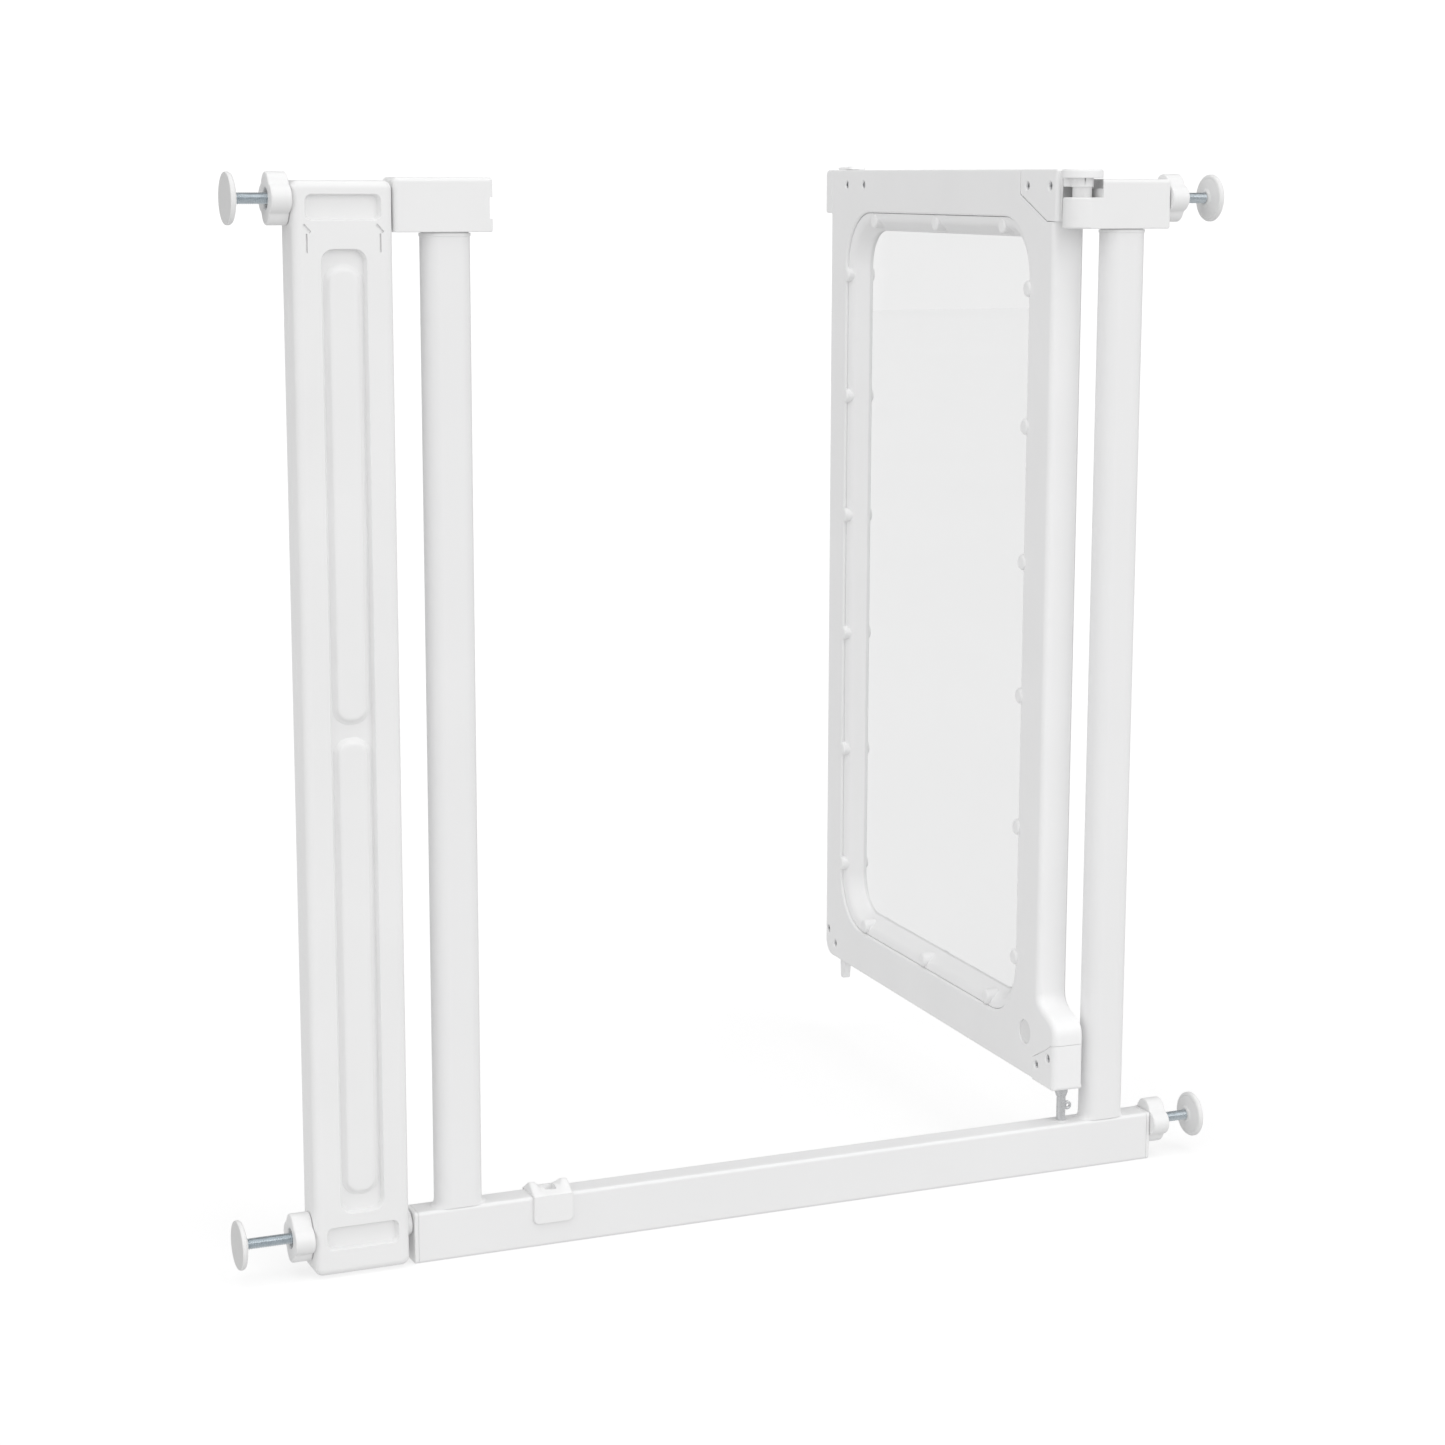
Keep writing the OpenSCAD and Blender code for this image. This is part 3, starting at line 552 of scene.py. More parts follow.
# hinge bracket with its knuckle
BX1 = 296.2
bracket = plate("hinge_bracket_housing", [path([(212, HZ0, 0, 0.8, 0.8), (BX1, HZ0, 2.0, 2.2, 2.2), (BX1, GH, 2.6, 3.2, 3.2), (212, GH, 0, 2.0, 2.0)], 8)], -14, 14, XZ)
kprof = smooth_prof([(0, HZ0, 0), (14, HZ0, 1.6), (14, 748.5, 1.5), (0, 748.5, 0)])
boolean(bracket, [box((200, -25, HZ0 - 5), (AX, 25, GH + 5), XY), box((200, -25, 748.5), (AX + 10.2, 25, GH + 5), XY)])
boolean(bracket, lathe("c", kprof, about(AX, 0, XY), 64), "UNION")
boolean(bracket, [
    lathe("c", [(0, 748.5), (15.7, 748.5), (16.15, 748.7), (16.3, 749.2), (16.3, 761.0), (16.45, 761.5), (16.9, 762.0), (17.6, 762.4), (17.6, 770), (0, 770)], about(AX, 0, XY), 96),
    lathe("c", [(0, 720), (9.65, 720), (9.65, 748.0), (10.15, 748.6), (10.15, 752), (0, 752)], about(AX, 0, XY), 48)])
boolean(bracket, box((AX + 10.25, -12.3, 747.5), (AX + 18.5, 12.3, 754.9), XY), "UNION")     # step beside the barrel
put(bracket, "frame", "white_plastic", M_WHITE, "hinge_bracket")

# floor catch: saddle over the rail, two wings that rise to a crest and slope to the front and the back
CX = AX - 426.0


def ease(q):
    q = min(1.0, max(0.0, q))
    return q * q * (3 - 2 * q)


def soft_min(a, b, k):
    h = max(0.0, k - abs(a - b)) / k
    return min(a, b) - h * h * k / 4


def catch_top(x, y):
    """Height of the saddle above the rail at (x, y) from its centre."""
    ax, ay = abs(x), abs(y)
    wing = 4.5 + 3.5 * ease((ax - 5.6) / 5.4)
    wing = soft_min(wing, 8.0, 0.8)
    crest = soft_min(8.1, 8.7 - 0.62 * ay, 2.2) if ay > 0 else 8.0
    low = soft_min(4.55, 5.3 - 0.36 * ay, 1.2)
    q = ease((ax - 5.6) / 5.4)
    z = low * (1 - q) + min(wing, crest) * q
    z = min(z, wing)
    end = 15.0 - ax
    z -= 1.9 * (1 - math.sqrt(max(0.0, 1 - (1 - min(1.0, end / 1.9)) ** 2)))
    side = 13.4 - ay
    z -= 1.8 * (1 - math.sqrt(max(0.0, 1 - (1 - min(1.0, side / 1.8)) ** 2)))
    return max(0.35, z)


def field(name):
    """Block whose top is the saddle's height field and whose foot is flat."""
    def spaced(half, edge, n, m):
        e = [half - edge * (1 - math.sin(math.pi / 2 * i / m)) for i in range(m + 1)]
        inner = [(half - edge) * i / n for i in range(n)]
        pos = inner + e
        return [-v for v in pos[:0:-1]] + pos
    xs, ys = spaced(15.0, 1.9, 26, 6), spaced(13.4, 1.8, 18, 6)
    nx, ny = len(xs), len(ys)
    verts = [XY(CX + x, y, 38.0 + catch_top(x, y)) for y in ys for x in xs]
    faces = [(b * nx + a, b * nx + a + 1, (b + 1) * nx + a + 1, (b + 1) * nx + a) for b in range(ny - 1) for a in range(nx - 1)]
    border = [a for a in range(nx)] + [b * nx + nx - 1 for b in range(1, ny)] + [(ny - 1) * nx + a for a in range(nx - 2, -1, -1)] + [b * nx for b in range(ny - 2, 0, -1)]
    base = len(verts)
    verts += [Vector((verts[k].x, verts[k].y, 15.0 * MM)) for k in border]
    m = len(border)
    for k in range(m):
        faces.append((border[k], base + k, base + (k + 1) % m, border[(k + 1) % m]))
    faces.append(tuple(range(base, base + m)))
    return make(name, verts, faces)


catch = plate("floor_catch_saddle", [path([(CX - 15, 17.5, 4.0, 0.9, 0.9), (CX + 15, 17.5, 4.0, 0.9, 0.9), (CX + 15, 50, 0, 0.9, 0.9), (CX - 15, 50, 0, 0.9, 0.9)], 8)], -13.4, 13.4, XZ, 5)
boolean(catch, field("c"), "INTERSECT")
boolean(catch, [
    plate("c", [path([(CX - 30, -5, 0, 0, 0), (CX + 30, -5, 0, 0, 0), (CX + 30, 38.02, 0, 0, 0), (CX - 30, 38.02, 0, 0, 0)])], -11.05, 11.05, XZ),
    plate("c", [rrect(CX, -2.0, 8.8, 10.2, 1.0, 0.0, 0.0, 5)], 37, 52, XY)])
put(catch, "frame", "white_plastic", M_WHITE, "floor_catch")

# extension panel: two shells, with pressed recesses and raised pads in front
pan = plate("panel_shell_front", [path([(PX0, 2, 6.0, 5.4, 0.3), (PX1, 2, 6.0, 5.4, 0.3), (PX1, 760, 6.0, 5.4, 0.3), (PX0, 760, 6.0, 5.4, 0.3)], 9)], -16, -0.12, XZ, 7)


def recess(cx, cz, w, h, r, depth, lip=0.6, floor=0.8, draft=0.8, kx=2.2):
    """Cutter for a pressed recess: rounded over at the rim, sloping walls, coved at the floor."""
    ts = [(depth, draft + floor)]
    for i in range(1, 6):
        a = math.pi / 2 * i / 5
        ts.append((depth - floor + floor * math.cos(a), draft + floor - floor * math.sin(a)))
    for i in range(0, 6):
        a = math.pi / 2 * i / 5
        ts.append((lip - lip * math.sin(a), -lip * (1 - math.cos(a))))
    ts.append((-1.0, -lip))
    loops = []
    for t, ins in ts:
        rr = max(0.4, r - ins)
        pts = rrect(cx, cz, w - 2 * ins * (kx if ins > 0 else 1.0), h - 2 * ins, rr, 0, 0, 9)
        loops.append([XZ(a, b, -16 + t) for a, b, _, _ in pts])
    return rings("c", loops, close_caps=True, closed_tube=False)


def slit(cx, cz, length, angle):
    a = math.radians(angle)
    pts = rrect(0, 0, 1.9 if angle else 1.3, length, 0.6, 0, 0, 4)
    lp = [(cx + x * math.cos(a) - y * math.sin(a), cz + x * math.sin(a) + y * math.cos(a), 0, 0) for x, y, _, _ in pts]
    return plate("c", [lp], -18, -14.6, XZ)


boolean(pan, [
    recess(PCX, 742.3, 52.2, 17.2, 4.6, 4.4, 0.35, 0.35, 0.75),
    recess(PCX, 29.0, 52.2, 16.6, 4.6, 4.4, 0.35, 0.35, 0.75),
    recess(PCX, 380.6, 31.6, 668.6, 8.8, 4.8, 0.4, 0.4, 0.6)])
boolean(pan, [slit(PCX + s * 25.3, 718.8, 12.5, 0) for s in (-1, 1)] + [slit(PCX + s * 25.0, 728.4, 7.2, 42) for s in (-1, 1)])
boolean(pan, [plate("c", [ring(0, z, 4.03, n=32)], PX0 - 2, PX0 + 52, YZ) for z in (Z_HI, Z_LO)])


def pad_mound(cz, h):
    """Raised pad on the stadium's floor: its sides are soft slopes."""
    loops = []
    r = 8.5
    prof = [(5.2, -3.6), (4.6, -3.2), (4.3, -2.8), (4.05, -2.4), (3.75, -1.7), (3.2, -1.05), (2.5, -0.5), (1.9, 0.0), (1.5, 0.7), (1.28, 1.6), (1.2, 3.0)]
    for t, ins in prof:
        rr = max(1.0, r - ins)
        pts = rrect(PCX, cz, 20.0 - 2 * ins, h - 2 * ins, rr, 0, 0, 9)
        loops.append([XZ(a, b, -16 + t) for a, b, _, _ in pts])
    return rings("c", loops, close_caps=True, closed_tube=False)


boolean(pan, [pad_mound(549.5, 305), pad_mound(221.4, 320)], "UNION")
put(pan, "frame", "white_plastic", M_WHITE, "panel_front_shell", angle=50)

back = plate("panel_shell_back", [path([(PX0, 2, 6.0, 0.3, 5.4), (PX1, 2, 6.0, 0.3, 5.4), (PX1, 760, 6.0, 0.3, 5.4), (PX0, 760, 6.0, 0.3, 5.4)], 9)], 0.12, 16, XZ, 7)
boolean(back, [lathe("c", [(0, 12.8), (3.3, 12.8), (3.3, 15.4), (3.9, 16.0), (3.9, 18), (0, 18)], (lambda z: (lambda a, b, t: XZ(PCX + a, z + b, t)))(z), 32) for z in (70, 390, 690)])
boolean(back, [plate("c", [ring(0, z, 4.03, n=32)], PX0 - 2, PX0 + 52, YZ) for z in (Z_HI, Z_LO)])
put(back, "frame", "white_plastic", M_WHITE, "panel_back_shell", angle=50)


# ------------------------------------------------------------------ screws
def screw_head(to3d, r=2.9, h=1.4, depth=1.0):
    """Pan head with a cross recess. The head's top faces minus t; t = 0 is under the head."""
    head = lathe("c", smooth_prof([(0, -h, 0), (r * 0.55, -h * 0.97, 1.0), (r * 0.98, -h * 0.35, 0.6), (r, 0, 0), (0, 0, 0)], 4), to3d, 28)
    for w, l in ((0.75, r * 1.25), (r * 1.25, 0.75)):
        c = plate("c", [rrect(0, 0, w, l, 0.2, 0, 0, 3)], -h - 0.5, -h + depth, to3d)
        boolean(head, c)
    return head


def shank(to3d, r, a, b):
    return lathe("c", [(0, a), (r, a), (r, b - 0.8), (r * 0.4, b), (0, b)], to3d, 16)


door_screw_places = [(65, 756.6, -10.4, -1.2), (27.1, 756.6, -10.4, -1.2), (19.2, 78.8, -10.4, -1.2), (-0.4, 89, -10.4, -5.4),
                     (414.7, 756.4, -11.2, -6.0), (378.7, 756.4, -11.2, -6.0), (441.2, 88.7, -10.4, -3.4), (425.5, 78.4, -10.4, -3.4)]
parts = []
for k, (s, z, seat, tip) in enumerate(door_screw_places):
    ang = 0.35 + 0.9 * k
    to = (lambda s, z, seat, ang: (lambda a, b, t: door(seat + t, s + a * math.cos(ang) - b * math.sin(ang), z + a * math.sin(ang) + b * math.cos(ang))))(s, z, seat, ang)
    parts += [screw_head(to), shank(to, 1.5, 0.0, tip - seat)]
put(merge("cross_head_screws_door", parts), "door", "zinc_steel", M_SCREW, "door_screws")

parts = []
for k, z in enumerate((70, 390, 690)):
    ang = 0.5 + k
    to = (lambda z, ang: (lambda a, b, t: XZ(PCX + a * math.cos(ang) - b * math.sin(ang), z + a * math.sin(ang) + b * math.cos(ang), 12.8 - t)))(z, ang)
    parts += [screw_head(to, 3.1, 1.6), shank(to, 1.5, 0.0, 18.8)]
put(merge("cross_head_screws_panel", parts), "frame", "zinc_steel", M_SCREW, "panel_screws")
parts = []
for k, x in enumerate((-266.5, 262.6)):
    ang = 0.2 + 1.1 * k
    to = (lambda x, ang: (lambda a, b, t: XZ(x + a * math.cos(ang) - b * math.sin(ang), 731.5 + a * math.sin(ang) + b * math.cos(ang), 12.2 - t)))(x, ang)
    parts += [screw_head(to, 3.0, 1.4), shank(to, 1.5, 0.0, 2.8)]
put(merge("cross_head_screws_housing", parts), "frame", "zinc_steel", M_SCREW, "housing_screws")


# ------------------------------------------------------------------ screw spindles
def axial(x0, z, sg):
    """Axis along X from x0, outwards for sg."""
    return lambda a, b, t: Vector((x0 + sg * t, a, z + b)) * MM


def threaded_rod(name, to3d, length, r=3.96, core=3.32, pitch=1.25, n=28):
    rows = int(length / pitch * 6)
    verts, faces = [], []
    for i in range(rows + 1):
        t = length * i / rows
        for j in range(n):
            a = 2 * math.pi * j / n
            ph = (t / pitch - j / n) % 1.0
            k = abs(2 * ph - 1)                      # 1 at the crest
            k = min(1.0, max(0.0, (k - 0.14) / 0.72))
            rr = core + (r - core) * k
            end = min(t, length - t)
            rr = min(rr, core - 0.25 + end * 1.0)
            verts.append(to3d(rr * math.cos(a), rr * math.sin(a), t))
    for i in range(rows):
        for j in range(n):
            q = (j + 1) % n
            faces.append((i * n + j, i * n + q, (i + 1) * n + q, (i + 1) * n + j))
    faces.append(tuple(range(n)))
    faces.append(tuple(range(rows * n, rows * n + n)))
    return make(name, verts, faces)


def knob_outline(n=120):
    out = []
    for i in range(n):
        a = 2 * math.pi * i / n
        ph = (a + math.pi / 4) % (math.pi / 2) - math.pi / 4
        lobe = 8.2 * math.cos(ph) + math.sqrt(max(0.0, 9.5 ** 2 - (8.2 * math.sin(ph)) ** 2))
        core = 14.0
        k = 0.9
        rr = (lobe + core + math.sqrt((lobe - core) ** 2 + k * k)) / 2 - 0.10
        out.append((rr * math.cos(a), rr * math.sin(a), 1.0, 1.1))
    return out


def hand_knob(name, x0, z, sg):
    to = axial(x0 + sg * 0.25, z, sg)
    ob = plate(name, [knob_outline()], 0, 14, to, 6)
    boolean(ob, lathe("c", [(0, -2), (7.2, -2), (7.2, 8.9), (6.8, 9.0), (6.8, 12.6), (7.1, 13.3), (7.7, 13.8), (8.3, 14.0), (8.4, 14.4), (8.4, 16), (0, 16)], to, 48))
    return ob


def knob_insert(name, x0, z, sg):
    to = axial(x0 + sg * 0.25, z, sg)
    return lathe(name, [(4.03, 0), (7.1, 0), (7.1, 8.8), (6.3, 8.9), (6.0, 9.3), (6.0, 11.0), (5.6, 11.4), (4.6, 11.4), (4.03, 10.9)], to, 40)


PAD_PROF = smooth_prof([(0, 0, 0), (16.9, 0, 0.5), (17.5, 0.7, 0.5), (17.5, 2.5, 0.9), (16.7, 3.7, 0.8), (15.2, 4.25, 0.5), (14.6, 4.0, 0.4), (11.0, 4.9, 1.0), (7.2, 5.7, 0.8), (5.7, 6.9, 0.4), (4.6, 6.98, 0.2), (4.0, 6.6, 0), (0, 6.6, 0)], 5)


def wall_pad(name, xp, z, sg):
    return lathe(name, PAD_PROF, axial(xp, z, -sg), 72)


for key, sg, z, face, padx in (("left_upper", -1, Z_HI, PX0, -417.5), ("left_lower", -1, Z_LO, PX0, -428.5),
                               ("right_upper", 1, Z_HI, BX1, 340.5), ("right_lower", 1, Z_LO, RL, 348.0)):
    put(threaded_rod("threaded_rod_" + key, axial(padx - sg * 4.0, z, -sg), 74.0), "spindle_" + key, "zinc_steel", M_ZINC, "rod_" + key, angle=60)
    disc_ob = put(wall_pad("wall_disc_" + key, padx, z, sg), "spindle_" + key, "satin_white_plastic", M_PAD, "wall_pad_" + key)
    disc_ob.data.materials.append(M_PAD_FACE_DARKER)
    for poly in disc_ob.data.polygons:                # the face that presses on the wall gets a darker, rougher white
        if all(abs(disc_ob.data.vertices[v].co.x - padx * MM) < 0.55 * MM for v in poly.vertices):
            poly.material_index = 1
    put(hand_knob("lobed_knob_" + key, face, z, sg), "nut_" + key, "white_plastic", M_WHITE, "hand_nut_" + key)
    put(knob_insert("knob_insert_" + key, face, z, sg), "nut_" + key, "zinc_steel", M_SCREW, "nut_insert_" + key)

# ------------------------------------------------------------------ door
WS, WZ, SW, SH, SR, LIP = 236.25, 418.0, 354.5, 630.0, 46.0, 15.0
V, TOP, SEAM, BOT = 4.9, 1.5, 0.6, 1.4


def s_curve(n=14):
    p0, p1, p2, p3 = Vector((19, 136)), Vector((19, 119.5)), Vector((-11, 127)), Vector((-11, 108))
    return [p0 * (1 - t) ** 3 + 3 * p1 * t * (1 - t) ** 2 + 3 * p2 * t * t * (1 - t) + p3 * t ** 3 for t in [i / n for i in range(n + 1)]]


def door_outline(front):
    """front: moulding (rounded at its face); otherwise the back cover."""
    e = lambda r: (r, 0.0) if front else (0.0, r)
    c = []

    def add(x, y, rc, r):
        c.append((x, y, rc, *e(r)))
    add(25.4, 66, 0, BOT)
    add(449, 66, 15, V)
    add(449, 730.9, 0, 1.6)
    add(449, 731.9, 0, SEAM)
    add(449, 769, 0, TOP)
    add(77.55, 769, 0, SEAM)
    add(77.55, 750.05, 0, SEAM)
    add(31.95, 730.35, 0, SEAM)
    add(19, 730.35, 0, V)
    for q in s_curve():
        add(q.x, q.y, 0, V)
    add(-11, 101.4, 0, SEAM)
    add(-4, 99.65, 0, SEAM)
    add(5, 94.05, 0, SEAM)
    add(25.45, 83.65, 0, SEAM)
    return path(c, 8)


def opening(rf, rb):
    return rrect(WS, WZ, SW + 0.5, SH + 0.5, SR + 0.25, rf, rb, 14, True)


mould = plate("door_moulding", [door_outline(True), opening(2.1, 0.0)], -13, 10.4, DSZ, 6)
holes = []
for s, z, seat, tip in door_screw_places[4:]:
    to = (lambda s, z: (lambda a, b, t: door(t, s + a, z + b)))(s, z)
    holes.append(lathe("c", [(0, -15), (4.4, -15), (4.4, -13.2), (4.15, -12.9), (3.35, -12.3), (3.1, -11.9), (3.1, seat), (0, seat)], to, 32))
to = lambda a, b, t: door(t, 39.7 + a, 100.1 + b)
holes.append(lathe("c", [(0, -15), (10.3, -15), (10.3, -13.15), (9.9, -12.9), (9.65, -12.6), (9.6, -12.2), (9.6, -8), (0, -8)], to, 48))
holes.append(plate("c", [ring(0, 0, 5.05, n=32)], 55, 95, DWS))          # bore for the hinge pin
holes.append(box((-4.3, 427.5, 755), (4.3, 442.0, 780), DWS))            # slot under the latch button
boolean(mould, holes)
put(mould, "door", "white_plastic", M_DOOR, "door_frame")

cover = plate("door_cover_back", [door_outline(False), opening(0.0, 2.1)], 10.6, 13, DSZ, 6)
boolean(cover, box((-4.3, 427.5, 755), (4.3, 442.0, 780), DWS))
put(cover, "door", "white_plastic", M_DOOR, "door_back_cover")

# plug that closes a hole in the moulding, slightly dished
plug = lathe("round_plug_disc", [(0, -11.75), (4.0, -11.82), (7.0, -12.02), (8.7, -12.2), (9.25, -12.2), (9.5, -11.95), (9.5, -9.2), (0, -9.2)], to, 48)
put(plug, "door", "satin_white_plastic", M_SATIN, "round_plug")


def bezel(name, sg, node):
    """Sloped ring that frames the window, swept round its rounded rectangle; (radius from corner centre, height)."""
    if sg < 0:
        prof = smooth_prof([(SR, 3.98, 0), (SR, -10.4, 0), (SR - 0.5, -10.9, 0.3), (SR - 6.5, -9.6, 8.0), (SR - 14.6, 1.5, 0.8), (SR - 15.0, 2.5, 0.3), (SR - 15.0, 3.98, 0)], 6)
    else:
        prof = smooth_prof([(SR, -4.02, 0), (SR, -10.4, 0), (SR - 0.5, -10.9, 0.3), (SR - 1.8, -10.7, 1.4), (SR - 12.0, -7.0, 1.6), (SR - 14.4, -5.9, 0.4), (SR - 15.0, -5.5, 0.3), (SR - 15.0, -4.02, 0)], 5)
    loops = []
    for rad, w in prof:
        ins = SR - rad
        pts = rrect(WS, WZ, SW - 2 * ins, SH - 2 * ins, rad, 0, 0, 14)
        loops.append([DSZ(a, b, w * (-sg)) for a, b, _, _ in pts])
    ob = rings(name, loops, closed_tube=True)
    return put(ob, "door", "white_plastic", M_DOOR, node, angle=45)


bezel("window_ring_front", -1, "window_bezel_front")
bezel("window_ring_rear", 1, "window_bezel_rear")

window = plate("window_sheet", [rrect(WS, WZ, SW - 1, SH - 1, SR - 0.5, 0.25, 0.25, 14)], 2.9, 5.1, DSZ, 3)
put(window, "door", "clear_acrylic", M_CLEAR, "clear_window")

boss_at = [(WS + k * (SW / 2 - 1.6), 156 + i * 104.7) for i in range(6) for k in (-1, 1)] + \
          [(WS + i * 124, WZ + k * (SH / 2 - 6.8)) for i in (-1, 0, 1) for k in (-1, 1)]
for sg, nm, node in ((-1, "ring_pegs_front", "bezel_studs_front"), (1, "ring_pegs_rear", "bezel_studs_rear")):
    parts = []
    root, end = (2.4, 14.6) if sg < 0 else (7.6, 10.8)           # front pegs stand proud, rear pegs stay under the face
    for k, (s, z) in enumerate(boss_at):
        # the pegs beside the window stand proud of the face, those at its top lie almost level with it
        h = end if sg > 0 else (11.6 if k >= 12 and z > WZ else 13.6 if k >= 12 else 14.6)
        prof = smooth_prof([(0, root, 0), (6.2, root, 0), (6.1, h, 2.0 if sg < 0 else 0.6), (0, h, 0)], 7)
        parts.append(lathe("c", prof, (lambda s, z, sg: (lambda a, b, t: door(sg * t, s + a, z + b)))(s, z, sg), 28))
    put(merge(nm, parts), "door", "white_plastic", M_DOOR, node)

# upper hinge cap with its arm
cap = plate("hinge_cap_upper", [path([(15.5, 730.5, 0, SEAM, SEAM), (31.6, 730.9, 0, 1.0, 1.0), (76.7, 750.5, 0, 1.0, 1.0), (76.7, 769, 0, TOP, TOP), (15.5, 769, 2.0, 3.4, 3.4)], 6)], -13, 13, DSZ, 5)
arm = plate("c", [path([(-6.6, -1, 0, 0.3, 1.5), (6.6, -1, 0, 0.3, 1.5), (6.6, 21, 0, 0.3, 1.5), (-6.6, 21, 0, 0.3, 1.5)])], 762.6, 769, DWS)
disc = lathe("c", smooth_prof([(0, 762.6, 0), (15.4, 762.6, 0.5), (15.4, 769, 1.7), (0, 769, 0)], 6), DWS, 72)
barrel = lathe("c", smooth_prof([(0, 756, 0), (8.4, 756, 0.5), (8.4, 763, 0), (0, 763, 0)], 5), DWS, 48)
web = plate("c", [path([(-7.6, 4, 0, 0.3, 0.3), (7.6, 4, 0, 0.3, 0.3), (7.6, 21, 0, 0.3, 0.3), (-7.6, 21, 0, 0.3, 0.3)])], 756.2, 763.5, DWS)
boolean(cap, [arm, disc, barrel, web], "UNION")
holes = []
for s, z, seat, tip in door_screw_places[:2]:
    to = (lambda s, z: (lambda a, b, t: door(t, s + a, z + b)))(s, z)
    holes.append(lathe("c", [(0, -15), (4.4, -15), (4.4, -13.2), (4.15, -12.9), (3.35, -12.3), (3.1, -11.9), (3.1, seat), (0, seat)], to, 32))
boolean(cap, holes)
put(cap, "door", "white_plastic", M_DOOR, "upper_hinge_cap")

lowcap = plate("hinge_cap_lower", [path([(-11, 65.0, 3.0, 1.2, 1.2), (25.3, 65.0, 0, SEAM, SEAM), (25.3, 83.5, 0, SEAM, SEAM), (4.95, 93.9, 0, SEAM, SEAM), (-4, 99.5, 0, SEAM, SEAM), (-11, 101.2, 0, V, V)], 6)], -13, 13, DSZ, 6)
holes = []
for s, z, seat, tip in door_screw_places[2:4]:
    to = (lambda s, z: (lambda a, b, t: door(t, s + a, z + b)))(s, z)
    holes.append(lathe("c", [(0, -15), (4.4, -15), (4.4, -13.2), (4.15, -12.9), (3.35, -12.3), (3.1, -11.9), (3.1, seat), (0, seat)], to, 32))
holes.append(plate("c", [ring(0, 0, 5.05, n=32)], 60, 95, DWS))
boolean(lowcap, holes)
put(lowcap, "door", "white_plastic", M_DOOR, "lower_hinge_cap")

# latch cap (the nose), its bolt and the button on top
nose = plate("latch_nose", [path([(449.1, 732, 0, 1.4, 1.4), (461.5, 732, 2.6, 2.2, 2.2), (461.5, 769, 5.0, TOP, TOP), (449.1, 769, 0, SEAM, SEAM)], 8)], -13, 13, DSZ, 6)
boolean(nose, box((-5.3, 440, 743.7), (5.3, 470, 753.3), DWS))
put(nose, "door", "white_plastic", M_DOOR, "latch_cap")
bolt = plate("latch_bolt_slide", [path([(-5, 396, 0.6, 0.6, 0.6), (5, 396, 0.6, 0.6, 0.6), (5, 456.5, 1.2, 0.6, 0.6), (2, 460.9, 0.9, 0.6, 0.6), (-2, 460.9, 0.9, 0.6, 0.6), (-5, 456.5, 1.2, 0.6, 0.6)], 5)], 744.0, 753.0, DWS, 4)
put(bolt, "latch_slide", "satin_white_plastic", M_SATIN, "latch_bolt")
button = plate("latch_thumb_button", [rrect(0, 434.5, 15, 31, 4.5, 0.4, 1.5, 8)], 769.3, 771.4, DWS, 5)
ribs = [plate("c", [rrect(0, 424.2 + i * 5.0, 11.0, 2.0, 0.9, 0.0, 0.7, 5)], 770.6, 772.15, DWS, 4) for i in range(5)]
stem = box((-4, 428, 753.0), (4, 438, 769.8), DWS, 0.0)
boolean(button, ribs + [stem], "UNION")
put(button, "latch_slide", "white_plastic", M_DOOR, "latch_button")

# drop tongue under the latch end
tongue = plate("drop_tongue_blade", [path([(423, 45.65, 1.6, 1.0, 1.0), (429, 45.65, 1.6, 1.0, 1.0), (431, 67.5, 0, 1.0, 1.0), (420, 67.5, 0, 1.0, 1.0)], 6)], -5.5, 1.5, DSZ, 5)
block = plate("c", [path([(415.2, 66.3, 1.0, 0.5, 0.5), (434.8, 66.3, 1.0, 0.5, 0.5), (434.8, 72, 0, 0.5, 0.5), (415.2, 72, 0, 0.5, 0.5)])], -7.8, 10.3, DSZ)
boolean(tongue, block, "UNION")
put(tongue, "door", "white_plastic", M_DOOR, "drop_tongue")

# hinge pin with its pull tab
pin = lathe("hinge_pin_lower_turned", smooth_prof([(0, 31.0, 0), (2.9, 31.0, 0.3), (3.5, 32.0, 0.3), (3.5, 57.6, 0.3), (4.1, 58.2, 0.3), (4.95, 61.0, 0.3), (5.0, 64.5, 0), (5.0, 80.0, 0), (0, 80.0, 0)], 4), DWS, 40)
tab = plate("c", [ring(5.2, 49.6, 3.5, 0.8, 0.8, 32)], -1.4, 1.4, DWZ, 4)
neck = plate("c", [path([(2, 47.7, 0, 0.7, 0.7), (5.2, 47.7, 0, 0.7, 0.7), (5.2, 51.5, 0, 0.7, 0.7), (2, 51.5, 0, 0.7, 0.7)])], -1.4, 1.4, DWZ, 4)
boolean(pin, [tab, neck], "UNION")
boolean(pin, lathe("c", [(0, -3), (2.1, -3), (2.1, -1.5), (1.45, -1.0), (1.45, 1.0), (2.1, 1.5), (2.1, 3), (0, 3)], lambda a, b, t: door(5.6 + a, t, 49.6 + b), 24))
put(pin, "hinge_pin", "zinc_steel", M_PIN, "lower_hinge_pin")

# ------------------------------------------------------------------ CAD nodes whose shape is right
for names, mat in ((("hinge_pin_spring", "bolt_spring", "connector_nuts"), M_ZINC),
                   (("lower_hinge_bush", "upper_hinge_bush", "upper_hinge_pivot", "connector_studs"), M_SATIN)):
    for n in names:
        ob = NODE[n]
        if not ob.material_slots:
            ob.data.materials.append(mat)
        for sl in ob.material_slots:
            sl.material = mat

